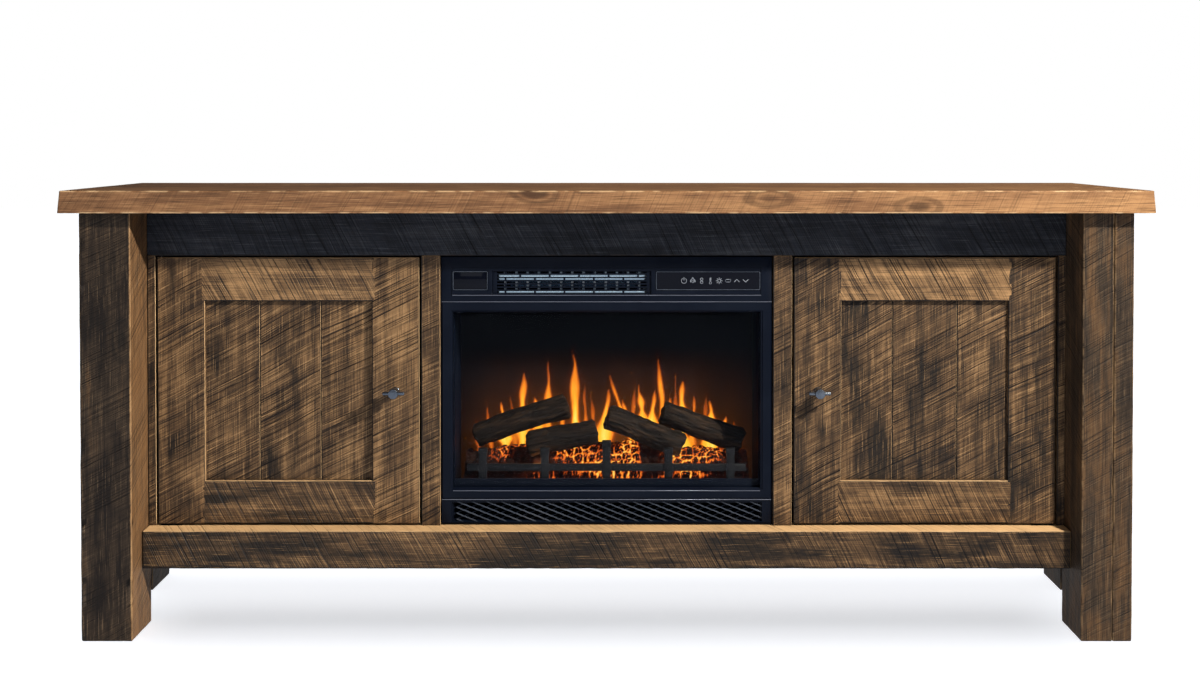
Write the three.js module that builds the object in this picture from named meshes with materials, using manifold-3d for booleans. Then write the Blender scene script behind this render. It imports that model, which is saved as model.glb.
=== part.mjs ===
// A rustic timber media console with an electric fireplace insert between two framed doors.
// Millimetres, +Z up. The origin is on the floor under the middle of the top.
// The front faces -Y, and +X is to the right of someone who looks at the front.
import * as THREE from 'three';
import { mergeVertices } from 'three/addons/utils/BufferGeometryUtils.js';
import Module from 'manifold-3d';

const wasm = await Module();
wasm.setup();

// ---------- Driving dimensions ----------

// Whole piece
const topWidth = 1829;
const topDepth = 406;
const overallHeight = 765;

// Top slab, over the legs
const topThickness = 38;
const topEndTaper = 4;
const topSideOverhang = 25;
const topFrontOverhang = 28;
const topBackOverhang = 12;

// Legs: square posts in front, planks on edge behind
const legWidth = 87;
const backLegWidth = 34;
const legDepth = 100;

// Rails and face frame
const floorClearance = 108;
const railHeight = 66;
const railSetback = 50;
const frameSetback = 84;
const frameThickness = 38;
const apronHeight = 80;
const outerStileWidth = 14.5;
const innerStileWidth = 33.5;

// Sides, back and inner boards
const sideRailThickness = 38;
const sideRailSetback = 10;
const sidePanelThickness = 18;
const sidePanelSetback = 21.5;
const sidePanelBoards = 2;
const backRailThickness = 38;
const backRailHeight = 80;
const backPanelThickness = 6;
const boardThickness = 18;
const shelfFrontGap = 13;
const shelfEndGap = 1;
const shelfBackGap = 6;
const cableHoleRadius = 30;
const ventCutoutWidth = 320;
const ventCutoutHeight = 260;

// Doors
const doorGap = 3;
const doorThickness = 25;
const doorStileWidth = 83;
const doorTopRailHeight = 77;
const doorBottomRailHeight = 76;
const doorPanelThickness = 10;
const doorPanelRecess = 9;
const doorPanelBoards = 3;
const panelGrooveDepth = 8;
const panelEdgeGap = 1;
const boardJointWidth = 3;
const boardJointDepth = 2.5;

// Pivot hinges
const pivotInset = 6;
const pivotPinRadius = 2.5;
const pivotPinDepth = 12;
const pivotPlateLength = 40;
const pivotPlateWidth = 10;
const pivotPlateThickness = 2.5;
const runningGap = 0.2;

// Knobs
const knobBaseRadius = 9;
const knobBaseThickness = 3;
const knobNeckRadius = 5;
const knobNeckLength = 15;
const knobHeadWidth = 18;
const knobHeadHeight = 20;
const knobHeadThickness = 16;
const knobBarLength = 38;
const knobBarRadius = 3;

// Fireplace insert: bezel
const insertSideGap = 1.2;
const insertEndGap = 2;
const bezelWidth = 579;
const bezelSetback = 4;
const bezelThickness = 14;
const bezelSideBar = 20;
const controlBandHeight = 83;
const headBarHeight = 13;
const sillBarHeight = 18;
const lowerBandHeight = 41;
const controlTopMargin = 25;
const controlHeight = 34;
const controlGap = 7.5;
const controlPocketDepth = 3;
const displayWidth = 62;
const outletWidth = 278;
const outletHeight = 40;
const outletSlots = 8;
const outletSlotHeight = 3;
const grilleThickness = 3;
const lowerGrilleMargin = 2.5;
const lowerGrilleSetback = 5;
const lowerGrilleColumns = 14;
const lowerGrilleRows = 2;
const glassThickness = 4;
const glassLap = 7.5;

// Fireplace insert: housing and what it holds
const insertDepth = 190;
const housingInset = 20;
const sheet = 2;
const lowerDeckDrop = 13;
const upperDeckRise = 7;
const hearthLipHeight = 30;
const screenDistance = 114;
const screenThickness = 3;
const emberSideGap = 12;
const emberFrontDistance = 34;
const emberFrontHeight = 16;
const emberCrestHeight = 60;
const logRadius = 17;
const grateDistance = 22;
const grateThickness = 8;
const grateBarHeight = 13;
const grateBarRise = 41;
const gratePostWidth = 14.5;
const gratePostHeight = 82;
const gratePosts = 5;
const grateInset = 9;
const spinnerRise = 40;
const spinnerRodRadius = 3;
const spinnerBladeReach = 19;
const spinnerBladeWidth = 26;
const spinnerBladeThickness = 1.2;
const spinnerBlades = 12;
const spinnerMotorRadius = 20;
const spinnerMotorLength = 22;
const bushRadius = 8;
const bushLength = 8;
const blowerWheelRadius = 24;
const blowerWheelLength = 236;
const blowerVanes = 14;
const blowerShaftRadius = 3;
const blowerMotorRadius = 26;
const blowerMotorLength = 40;
const blowerDistance = 130;
const heaterDistance = 40;
const heaterThickness = 18;
const heaterSlots = 14;
const boardDistance = 24;
const glandHoleRadius = 9;
const glandBoreRadius = 4;
const glandFlangeRadius = 13;
const glandLength = 16;

// Small clearance where one piece is let into another
const fitGap = 0.3;

// ---------- Places worked out from the driving dimensions ----------

const legHeight = overallHeight - topThickness;
const topFront = -topDepth / 2;
const legFront = topFront + topFrontOverhang;
const legBack = topDepth / 2 - topBackOverhang;
const legOuter = topWidth / 2 - topSideOverhang;
const legInner = legOuter - legWidth;
const backLegInner = legOuter - backLegWidth;
const frameFront = legFront + frameSetback;
const frameBack = frameFront + frameThickness;
const railFront = legFront + railSetback;
const railTop = floorClearance + railHeight;
const apronBottom = legHeight - apronHeight;
const openingHeight = apronBottom - railTop;
const sideFront = legFront + legDepth;
const sideBack = legBack - legDepth;
const sidePanelOuter = legOuter - sidePanelSetback;
const sidePanelInner = sidePanelOuter - sidePanelThickness;
const backRailFront = legBack - backRailThickness;
const backPanelFront = backRailFront - backPanelThickness;

const bezelHeight = openingHeight - 2 * insertEndGap;
const innerStileInner = bezelWidth / 2 + insertSideGap;
const innerStileOuter = innerStileInner + innerStileWidth;
const outerStileInner = legInner - outerStileWidth;
const doorFree = innerStileOuter + doorGap;
const doorHinge = outerStileInner - doorGap;
const doorWidth = doorHinge - doorFree;
const doorHeight = openingHeight - 2 * doorGap;
const doorPanelWidth = doorWidth - 2 * doorStileWidth;
const doorPanelHeight = doorHeight - doorTopRailHeight - doorBottomRailHeight;
const partitionInner = innerStileInner + (innerStileWidth - boardThickness) / 2;
const partitionOuter = partitionInner + boardThickness;
const shelfTop = railTop + openingHeight / 2;

// ---------- Finishes ----------

const finishes = {
  topTimber: { color: 0x8a5a33, roughness: 0.75, metalness: 0 },
  darkTimber: { color: 0x3d2c1f, roughness: 0.85, metalness: 0 },
  brownTimber: { color: 0x5a4028, roughness: 0.8, metalness: 0 },
  plainBoard: { color: 0x6b5138, roughness: 0.8, metalness: 0 },
  darkIron: { color: 0x3a3d42, roughness: 0.45, metalness: 0.9 },
  plainSteel: { color: 0x9b9ea3, roughness: 0.4, metalness: 1 },
  blackCoat: { color: 0x14171c, roughness: 0.5, metalness: 0.3 },
  blackGloss: { color: 0x0a0c10, roughness: 0.1, metalness: 0 },
  brightSteel: { color: 0xa9b4c2, roughness: 0.25, metalness: 1 },
  clearGlass: { color: 0xdfe8ee, roughness: 0.05, metalness: 0, transparent: true, opacity: 0.3 },
  screenPlastic: { color: 0x101318, roughness: 0.3, metalness: 0 },
  emberResin: { color: 0xd9591a, roughness: 0.6, metalness: 0 },
  logResin: { color: 0x4a3324, roughness: 0.9, metalness: 0 },
  mirrorFoil: { color: 0xd5d8dc, roughness: 0.15, metalness: 1 },
  circuitBoard: { color: 0x1f5a34, roughness: 0.5, metalness: 0 },
  blackNylon: { color: 0x17181a, roughness: 0.6, metalness: 0 },
};

// ---------- Geometry helpers ----------

function mesh(name, finish, geometry, place = [0, 0, 0]) {
  const item = new THREE.Mesh(geometry, new THREE.MeshStandardMaterial(finishes[finish]));
  item.name = name;
  item.position.set(...place);
  return item;
}

// A box given by two opposite corners, in any order.
function boxGeometry(cornerA, cornerB) {
  const low = new THREE.Vector3(...cornerA).min(new THREE.Vector3(...cornerB));
  const high = new THREE.Vector3(...cornerA).max(new THREE.Vector3(...cornerB));
  const span = high.clone().sub(low);
  const geometry = new THREE.BoxGeometry(span.x, span.y, span.z);
  geometry.translate(low.x + span.x / 2, low.y + span.y / 2, low.z + span.z / 2);
  return geometry;
}

// A box mesh whose position is the box's middle.
function block(name, finish, cornerA, cornerB) {
  const middle = cornerA.map((value, i) => (value + cornerB[i]) / 2);
  const span = cornerA.map((value, i) => Math.abs(value - cornerB[i]));
  return mesh(name, finish, new THREE.BoxGeometry(...span), middle);
}

function rectangle(x0, y0, x1, y1, path = new THREE.Shape()) {
  path.moveTo(x0, y0);
  path.lineTo(x1, y0);
  path.lineTo(x1, y1);
  path.lineTo(x0, y1);
  path.closePath();
  return path;
}

function outline(points, path = new THREE.Shape()) {
  points.forEach(([x, y], i) => (i === 0 ? path.moveTo(x, y) : path.lineTo(x, y)));
  path.closePath();
  return path;
}

// A flat shape drawn in X and Z, made solid from y = 0 to y = thickness.
function uprightPlate(shape, thickness) {
  const geometry = new THREE.ExtrudeGeometry(shape, { depth: thickness, bevelEnabled: false });
  geometry.rotateX(Math.PI / 2);
  geometry.translate(0, thickness, 0);
  return geometry;
}

// A flat shape drawn in X and Y, made solid from z = 0 to z = height.
function column(shape, height) {
  return new THREE.ExtrudeGeometry(shape, { depth: height, bevelEnabled: false });
}

// A section drawn in Y and Z, made solid from x = -length / 2 to x = length / 2.
function beam(section, length) {
  const geometry = new THREE.ExtrudeGeometry(section, { depth: length, bevelEnabled: false });
  geometry.rotateX(Math.PI / 2);
  geometry.rotateZ(Math.PI / 2);
  geometry.translate(-length / 2, 0, 0);
  return geometry;
}

function rod(radius, length, axis, sides = 24) {
  const geometry = new THREE.CylinderGeometry(radius, radius, length, sides);
  if (axis === 'x') geometry.rotateZ(Math.PI / 2);
  if (axis === 'z') geometry.rotateX(Math.PI / 2);
  return geometry;
}

function solid(geometry) {
  const plain = geometry.clone();
  plain.deleteAttribute('normal');
  plain.deleteAttribute('uv');
  const welded = mergeVertices(plain, 1e-4);
  return new wasm.Manifold(new wasm.Mesh({
    numProp: 3,
    vertProperties: new Float32Array(welded.getAttribute('position').array),
    triVerts: new Uint32Array(welded.getIndex().array),
  }));
}

function fromSolid(body) {
  const result = body.getMesh();
  const geometry = new THREE.BufferGeometry();
  geometry.setAttribute('position', new THREE.BufferAttribute(result.vertProperties, 3));
  geometry.setIndex(new THREE.BufferAttribute(result.triVerts, 1));
  geometry.computeVertexNormals();
  return geometry;
}

// Joins the pieces in `joined` and then takes the pieces in `cuts` away.
function shaped(joined, cuts = []) {
  const [first, ...others] = joined.map(solid);
  const whole = others.reduce((body, piece) => body.add(piece), first);
  return fromSolid(cuts.map(solid).reduce((body, piece) => body.subtract(piece), whole));
}

// ---------- Timber carcase ----------

function makeTop() {
  const half = topWidth / 2;
  const section = outline([
    [-half, 0],
    [half, 0],
    [half - topEndTaper, topThickness],
    [-half + topEndTaper, topThickness],
  ]);
  return mesh('top', 'topTimber', uprightPlate(section, topDepth), [0, topFront, legHeight]);
}

function makeLegs() {
  const rows = { front: [legInner, legFront, sideFront], back: [backLegInner, sideBack, legBack] };
  const sides = { left: -1, right: 1 };
  return Object.entries(rows).flatMap(([row, [inner, near, far]]) =>
    Object.entries(sides).map(([side, sign]) =>
      block(`leg_${row}_${side}`, 'darkTimber', [sign * inner, near, 0], [sign * legOuter, far, legHeight])));
}

// The mortise for a pivot plate, wider than the plate by the fit gap all round.
function plateMortise(sign, z, up) {
  const outer = doorHinge - pivotInset + pivotPlateWidth / 2;
  const middle = frameFront + pivotInset;
  const half = pivotPlateWidth / 2 + fitGap;
  return boxGeometry(
    [sign * (outer + fitGap), middle - half, z - up],
    [sign * (outer - pivotPlateLength - fitGap), middle + half, z + up * (pivotPlateThickness + fitGap)],
  );
}

function makeApron() {
  const body = boxGeometry([-legInner, frameFront, apronBottom], [legInner, frameBack, legHeight]);
  const mortises = [-1, 1].map((sign) => plateMortise(sign, apronBottom, 1));
  return mesh('apron', 'darkTimber', shaped([body], mortises));
}

function makeBottomRail() {
  const body = boxGeometry([-legInner, railFront, floorClearance], [legInner, frameBack, railTop]);
  const mortises = [-1, 1].map((sign) => plateMortise(sign, railTop, -1));
  return mesh('bottom_rail', 'brownTimber', shaped([body], mortises));
}

function makeStiles(sign, side) {
  return [
    block(`outer_stile_${side}`, 'brownTimber',
      [sign * outerStileInner, frameFront, railTop], [sign * legInner, frameBack, apronBottom]),
    block(`inner_stile_${side}`, 'brownTimber',
      [sign * innerStileInner, frameFront, railTop], [sign * innerStileOuter, frameBack, apronBottom]),
  ];
}

// The section of a panel of upright boards: x along its width, the face with V joints at y = 0.
function boardedSection(width, thickness, boards) {
  const half = boardJointWidth / 2;
  const points = [[-width / 2, thickness], [-width / 2, 0]];
  for (let i = 1; i < boards; i += 1) {
    const joint = -width / 2 + (width * i) / boards;
    points.push([joint - half, 0], [joint, boardJointDepth], [joint + half, 0]);
  }
  points.push([width / 2, 0], [width / 2, thickness]);
  return outline(points);
}

function makeSide(sign, side) {
  const rail = block(`side_rail_${side}`, 'darkTimber',
    [sign * (legOuter - sideRailSetback - sideRailThickness), sideFront, floorClearance],
    [sign * (legOuter - sideRailSetback), sideBack, railTop]);
  const width = sideBack - sideFront - 2 * fitGap;
  const height = legHeight - railTop - 2 * fitGap;
  const section = boardedSection(width, sidePanelThickness, sidePanelBoards);
  const place = [sign * sidePanelOuter, (sideFront + sideBack) / 2, railTop + fitGap];
  const panel = mesh(`side_panel_${side}`, 'brownTimber', column(section, height), place);
  panel.rotation.z = (sign * Math.PI) / 2;
  return [rail, panel];
}

function makeBackRails() {
  const levels = { top: [legHeight - backRailHeight, legHeight], bottom: [floorClearance, railTop] };
  return Object.entries(levels).map(([level, [low, high]]) =>
    block(`back_rail_${level}`, 'darkTimber', [-backLegInner, backRailFront, low], [backLegInner, legBack, high]));
}

function makeBackPanel() {
  const shape = rectangle(-backLegInner, railTop, backLegInner, legHeight);
  const ventMiddle = railTop + openingHeight / 2;
  const holeMiddle = (partitionOuter + legInner) / 2;
  shape.holes.push(rectangle(-ventCutoutWidth / 2, ventMiddle - ventCutoutHeight / 2,
    ventCutoutWidth / 2, ventMiddle + ventCutoutHeight / 2, new THREE.Path()));
  for (const sign of [-1, 1]) {
    for (const level of [railTop + openingHeight / 4, shelfTop + openingHeight / 4]) {
      shape.holes.push(new THREE.Path().absarc(sign * holeMiddle, level, cableHoleRadius, 0, Math.PI * 2));
    }
  }
  return mesh('back_panel', 'plainBoard', uprightPlate(shape, backPanelThickness), [0, backPanelFront, 0]);
}

function makeFloor() {
  const wide = legOuter - sideRailSetback - sideRailThickness;
  return block('cabinet_floor', 'plainBoard',
    [-wide, frameBack, railTop - boardThickness], [wide, backRailFront, railTop]);
}

function makePartition(sign, side) {
  return block(`partition_${side}`, 'plainBoard',
    [sign * partitionInner, frameBack, railTop], [sign * partitionOuter, backPanelFront, legHeight]);
}

function makeShelf(sign, side) {
  return block(`shelf_${side}`, 'plainBoard',
    [sign * (partitionOuter + shelfEndGap), frameBack + shelfFrontGap, shelfTop - boardThickness],
    [sign * (sidePanelInner - shelfEndGap), backPanelFront - shelfBackGap, shelfTop]);
}

// ---------- Doors ----------

// A door's group stands on its pivot axis, level with the door's bottom edge.
// Inside it, along() turns a distance from the hinge edge into an x.
function makeDoor(sign, side) {
  const door = new THREE.Group();
  door.position.set(sign * (doorHinge - pivotInset), frameFront + pivotInset, railTop + doorGap);
  const along = (distance) => -sign * (distance - pivotInset);
  const front = -pivotInset;
  const back = front + doorThickness;
  const grooveFront = front + doorPanelRecess - fitGap;
  const grooveBack = front + doorPanelRecess + doorPanelThickness + fitGap;

  function stileSection(edge, inner) {
    const groove = inner + Math.sign(edge - inner) * panelGrooveDepth;
    return outline([
      [along(edge), front],
      [along(inner), front],
      [along(inner), grooveFront],
      [along(groove), grooveFront],
      [along(groove), grooveBack],
      [along(inner), grooveBack],
      [along(inner), back],
      [along(edge), back],
    ]);
  }

  // A rail's section has its groove at the edge that faces the panel, and its ends are stub tenons.
  function railGeometry(edge, inner) {
    const groove = inner + Math.sign(edge - inner) * panelGrooveDepth;
    const section = outline([
      [front, edge],
      [front, inner],
      [grooveFront, inner],
      [grooveFront, groove],
      [grooveBack, groove],
      [grooveBack, inner],
      [back, inner],
      [back, edge],
    ]);
    const reach = doorPanelWidth / 2 + panelGrooveDepth - panelEdgeGap;
    const tenon = boxGeometry([-reach, grooveFront + fitGap, edge], [reach, grooveBack - fitGap, groove]);
    return shaped([beam(section, doorPanelWidth), tenon]);
  }

  const pinHole = rod(pivotPinRadius + runningGap, 2 * (pivotPinDepth + 1), 'z');
  const topHole = pinHole.clone().translate(0, 0, doorHeight);
  const middle = along(doorWidth / 2);
  const panelLow = doorBottomRailHeight - panelGrooveDepth + panelEdgeGap;
  const panelWide = doorPanelWidth + 2 * (panelGrooveDepth - panelEdgeGap);
  const panelTall = doorPanelHeight + 2 * (panelGrooveDepth - panelEdgeGap);
  const panelSection = boardedSection(panelWide, doorPanelThickness, doorPanelBoards);
  const topInner = doorHeight - doorTopRailHeight;
  const stileEdge = doorWidth - doorStileWidth;

  door.add(
    mesh(`door_hinge_stile_${side}`, 'brownTimber',
      shaped([column(stileSection(0, doorStileWidth), doorHeight)], [pinHole, topHole])),
    mesh(`door_lock_stile_${side}`, 'brownTimber', column(stileSection(doorWidth, stileEdge), doorHeight)),
    mesh(`door_top_rail_${side}`, 'brownTimber', railGeometry(doorHeight, topInner), [middle, 0, 0]),
    mesh(`door_bottom_rail_${side}`, 'brownTimber', railGeometry(0, doorBottomRailHeight), [middle, 0, 0]),
    mesh(`door_panel_${side}`, 'brownTimber', column(panelSection, panelTall),
      [middle, front + doorPanelRecess, panelLow]),
    makeKnob(side, [along(doorWidth - doorStileWidth / 2), front, doorHeight / 2]),
  );
  return door;
}

// The knob points along -Y from the door's face: a round base and neck, a block and a cross bar.
function makeKnob(side, place) {
  const neckEnd = knobBaseThickness + knobNeckLength;
  const stem = new THREE.LatheGeometry([
    new THREE.Vector2(0, 0),
    new THREE.Vector2(knobBaseRadius, 0),
    new THREE.Vector2(knobBaseRadius, knobBaseThickness),
    new THREE.Vector2(knobNeckRadius, knobBaseThickness),
    new THREE.Vector2(knobNeckRadius, neckEnd + 1),
    new THREE.Vector2(0, neckEnd + 1),
  ], 20);
  stem.rotateX(Math.PI);
  const head = boxGeometry(
    [-knobHeadWidth / 2, -neckEnd - knobHeadThickness, -knobHeadHeight / 2],
    [knobHeadWidth / 2, -neckEnd, knobHeadHeight / 2]);
  const bar = rod(knobBarRadius, knobBarLength, 'x', 16).translate(0, -neckEnd - knobHeadThickness / 2, 0);
  return mesh(`knob_${side}`, 'darkIron', shaped([stem, head, bar]), place);
}

// A pivot hinge's plate lies flush in the frame, and its pin stands up or down into the hinge stile.
function makePivot(sign, side, level, z, up) {
  const plate = boxGeometry(
    [sign * (pivotPlateWidth / 2), -pivotPlateWidth / 2, 0],
    [sign * (pivotPlateWidth / 2 - pivotPlateLength), pivotPlateWidth / 2, up * pivotPlateThickness]);
  const length = doorGap + pivotPinDepth;
  const pin = rod(pivotPinRadius, length + 1, 'z').translate(0, 0, (-up * (length - 1)) / 2);
  const place = [sign * (doorHinge - pivotInset), frameFront + pivotInset, z];
  return mesh(`pivot_${level}_${side}`, 'plainSteel', shaped([plate, pin]), place);
}

// ---------- Fireplace insert ----------
// The group's origin is under the middle of the bezel's front face: y grows into the cabinet.

const glassLow = lowerBandHeight + sillBarHeight;
const glassHigh = bezelHeight - controlBandHeight - headBarHeight;
const windowHalf = bezelWidth / 2 - bezelSideBar;
const controlTop = bezelHeight - controlTopMargin;
const outletLeft = -windowHalf + displayWidth + controlGap;
const outletRight = outletLeft + outletWidth;
const touchLeft = outletRight + controlGap;
const housingHalf = bezelWidth / 2 - housingInset;
const housingInner = housingHalf - sheet;
const housingLow = -insertEndGap;
const housingHigh = bezelHeight - insertEndGap;
const deckTop = glassLow - lowerDeckDrop;
const ceiling = glassHigh + upperDeckRise;
const upperDeckTop = ceiling + sheet;
const housingBack = insertDepth - sheet;
const rearMiddle = (screenDistance + screenThickness + housingBack) / 2;
const spinnerAxis = [rearMiddle, deckTop + spinnerRise];
const blowerAxis = [blowerDistance, (upperDeckTop + housingHigh - sheet) / 2];
const blowerMiddle = (outletLeft + outletRight) / 2;
const blowerLeft = blowerMiddle - blowerWheelLength / 2;
const blowerRight = blowerMiddle + blowerWheelLength / 2;
const bracketRight = blowerLeft - 4;
const emberHalf = housingInner - emberSideGap;
const glandPlace = [housingHalf * 0.75, lowerBandHeight / 2];

function makeBezel() {
  const shape = rectangle(-bezelWidth / 2, 0, bezelWidth / 2, bezelHeight);
  const lowerHalf = windowHalf + lowerGrilleMargin;
  shape.holes.push(
    rectangle(-windowHalf, glassLow, windowHalf, glassHigh, new THREE.Path()),
    rectangle(-lowerHalf, lowerGrilleMargin, lowerHalf, lowerBandHeight - lowerGrilleMargin, new THREE.Path()),
    rectangle(outletLeft, controlTop - outletHeight, outletRight, controlTop, new THREE.Path()),
  );
  const lap = windowHalf + glassLap;
  const controlLow = controlTop - controlHeight;
  const rebate = boxGeometry(
    [-lap, bezelThickness - glassThickness - fitGap, glassLow - glassLap],
    [lap, bezelThickness + 1, glassHigh + glassLap]);
  const displayPocket = boxGeometry(
    [-windowHalf, -1, controlLow],
    [-windowHalf + displayWidth, controlPocketDepth, controlTop]);
  const touchPocket = boxGeometry(
    [touchLeft, -1, controlLow],
    [windowHalf, controlPocketDepth + fitGap, controlTop]);
  const geometry = shaped([uprightPlate(shape, bezelThickness)], [rebate, displayPocket, touchPocket]);
  return mesh('bezel', 'blackCoat', geometry);
}

function makeTouchPanel() {
  return block('touch_panel', 'blackGloss',
    [touchLeft + fitGap, 0, controlTop - controlHeight + fitGap],
    [windowHalf - fitGap, controlPocketDepth, controlTop - fitGap]);
}

function makeOutletGrille() {
  const left = outletLeft + fitGap;
  const right = outletRight - fitGap;
  const low = controlTop - outletHeight + fitGap;
  const high = controlTop - fitGap;
  const pitch = (high - low) / outletSlots;
  const slots = Array.from({ length: outletSlots }, (_, i) => {
    const middle = low + pitch * (i + 0.5);
    return boxGeometry([left + pitch, -1, middle - outletSlotHeight / 2],
      [right - pitch, grilleThickness + 1, middle + outletSlotHeight / 2]);
  });
  const plate = boxGeometry([left, 0, low], [right, grilleThickness, high]);
  return mesh('outlet_grille', 'brightSteel', shaped([plate], slots), [0, controlPocketDepth, 0]);
}

function makeGlass() {
  const half = windowHalf + glassLap - fitGap;
  const back = bezelThickness - fitGap;
  return block('front_glass', 'clearGlass',
    [-half, back - glassThickness + fitGap, glassLow - glassLap + fitGap],
    [half, back, glassHigh + glassLap - fitGap]);
}

// The lower grille's slots lean to the left as they rise, like punched mesh.
function makeLowerGrille() {
  const half = windowHalf + lowerGrilleMargin - fitGap;
  const low = lowerGrilleMargin + fitGap;
  const high = lowerBandHeight - lowerGrilleMargin - fitGap;
  const pitch = (2 * half) / (lowerGrilleColumns + 0.5);
  const rise = (high - low) / lowerGrilleRows;
  const slots = [];
  for (let row = 0; row < lowerGrilleRows; row += 1) {
    for (let i = 0; i < lowerGrilleColumns; i += 1) {
      const slot = outline([
        [-pitch * 0.1, rise * 0.35],
        [-pitch * 0.35, rise * 0.35],
        [pitch * 0.1, -rise * 0.35],
        [pitch * 0.35, -rise * 0.35],
      ]);
      slots.push(uprightPlate(slot, grilleThickness + 2)
        .translate(-half + pitch * (i + 0.5 + 0.25 * row), -1, low + rise * (row + 0.5)));
    }
  }
  const plate = boxGeometry([-half, 0, low], [half, grilleThickness, high]);
  return mesh('lower_grille', 'blackCoat', shaped([plate], slots), [0, lowerGrilleSetback, 0]);
}

// One folded and welded sheet-metal box with a firebox, a heater bay above it and a bay below it.
function makeHousing() {
  const front = bezelThickness;
  const outer = boxGeometry([-housingHalf, front, housingLow], [housingHalf, insertDepth, housingHigh]);
  const bays = [
    [housingLow + sheet, deckTop - sheet],
    [deckTop, ceiling],
    [upperDeckTop, housingHigh - sheet],
  ].map(([low, high]) => boxGeometry([-housingInner, front - 1, low], [housingInner, housingBack, high]));
  const shell = fromSolid(bays.map(solid).reduce((body, bay) => body.subtract(bay), solid(outer)));

  const lip = boxGeometry([-housingInner - 1, front + 1, deckTop - 1],
    [housingInner + 1, front + 1 + sheet, deckTop + hearthLipHeight]);
  const bush = rod(bushRadius, bushLength + 1, 'x')
    .translate(housingInner - (bushLength - 1) / 2, ...spinnerAxis);
  const bracket = boxGeometry([bracketRight - sheet, blowerAxis[0] - bushRadius * 2, upperDeckTop - 1],
    [bracketRight, blowerAxis[0] + bushRadius * 2, housingHigh - sheet + 1]);

  const bushHole = rod(spinnerRodRadius + runningGap, bushLength * 2, 'x')
    .translate(housingInner - bushLength, ...spinnerAxis);
  const bracketHole = rod(blowerShaftRadius + runningGap, sheet * 4, 'x')
    .translate(bracketRight, ...blowerAxis);
  const glandHole = rod(glandHoleRadius, sheet * 4, 'y')
    .translate(glandPlace[0], insertDepth, glandPlace[1]);
  const slots = [];
  for (let i = -4; i <= 4; i += 1) {
    const x = blowerMiddle + i * 24;
    slots.push(boxGeometry([x - 4, housingBack - 1, blowerAxis[1] - blowerWheelRadius],
      [x + 4, insertDepth + 1, blowerAxis[1] + blowerWheelRadius]));
  }
  return mesh('insert_housing', 'blackCoat',
    shaped([shell, lip, bush, bracket], [bushHole, bracketHole, glandHole, ...slots]));
}

function makeScreen() {
  return block('flame_screen', 'screenPlastic',
    [-housingInner + fitGap, screenDistance, deckTop + fitGap],
    [housingInner - fitGap, screenDistance + screenThickness, ceiling - fitGap]);
}

function makeEmberBed() {
  const back = screenDistance - fitGap;
  const crest = (emberFrontDistance + back) / 2;
  const section = outline([
    [emberFrontDistance, 0],
    [back, 0],
    [back, emberCrestHeight],
    [crest, emberCrestHeight],
    [emberFrontDistance, emberFrontHeight],
  ]);
  return mesh('ember_bed', 'emberResin', beam(section, 2 * emberHalf), [0, 0, deckTop + fitGap]);
}

// A log runs from one end to the other in a plane across the firebox. Its ends are given as a share
// of the ember bed's half width and as a height over the bed's crest.
function makeLog(name, [startShare, startRise], [endShare, endRise], distance) {
  const base = deckTop + emberCrestHeight;
  const start = new THREE.Vector3(startShare * emberHalf, distance, base + startRise);
  const end = new THREE.Vector3(endShare * emberHalf, distance, base + endRise);
  const length = start.distanceTo(end);
  const geometry = new THREE.CylinderGeometry(logRadius * 0.94, logRadius, length, 12);
  const log = mesh(name, 'logResin', geometry, start.clone().add(end).multiplyScalar(0.5).toArray());
  const direction = end.clone().sub(start).normalize();
  log.quaternion.setFromUnitVectors(new THREE.Vector3(0, 1, 0), direction);
  return log;
}

function makeLogs() {
  const near = emberFrontDistance + logRadius + 2;
  const far = screenDistance - logRadius - 10;
  return [
    makeLog('log_back_left', [-0.93, 36], [-0.28, 90], far),
    makeLog('log_front_left', [-0.55, 26], [-0.07, 51], near),
    makeLog('log_middle_right', [0, 76], [0.53, 24], near),
    makeLog('log_back_right', [0.39, 76], [0.96, 24], far),
  ];
}

// The grate's posts stand on the firebox deck, and the middle one is the tallest.
function makeGrate() {
  const half = emberHalf - grateInset;
  const bar = boxGeometry([-half, 0, grateBarRise], [half, grateThickness, grateBarRise + grateBarHeight]);
  const pitch = (2 * half) / (gratePosts - 0.5);
  const posts = Array.from({ length: gratePosts }, (_, i) => {
    const step = i - (gratePosts - 1) / 2;
    const height = gratePostHeight + (step === 0 ? grateBarHeight : 0);
    return boxGeometry([step * pitch - gratePostWidth / 2, 0, 0],
      [step * pitch + gratePostWidth / 2, grateThickness, height]);
  });
  return mesh('grate', 'blackCoat', shaped([bar, ...posts]), [0, grateDistance, deckTop + fitGap]);
}

// The spinner turns about its own x axis: flat mirror blades along a rod, each turned from the last.
function makeSpinner() {
  const left = -housingInner + fitGap + spinnerMotorLength - bushLength + 1;
  const right = housingInner - 1;
  const shaft = rod(spinnerRodRadius, right - left, 'x').translate((left + right) / 2, 0, 0);
  const bladesLeft = -housingInner + spinnerMotorLength + spinnerBladeWidth;
  const bladesRight = housingInner - bushLength - spinnerBladeWidth;
  const blades = Array.from({ length: spinnerBlades }, (_, i) => {
    const blade = new THREE.BoxGeometry(spinnerBladeWidth, spinnerBladeThickness, 2 * spinnerBladeReach);
    blade.rotateX((i * Math.PI) / 5);
    return blade.translate(bladesLeft + ((bladesRight - bladesLeft) * i) / (spinnerBlades - 1), 0, 0);
  });
  return mesh('flame_spinner', 'mirrorFoil', shaped([shaft, ...blades]), [0, ...spinnerAxis]);
}

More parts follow.
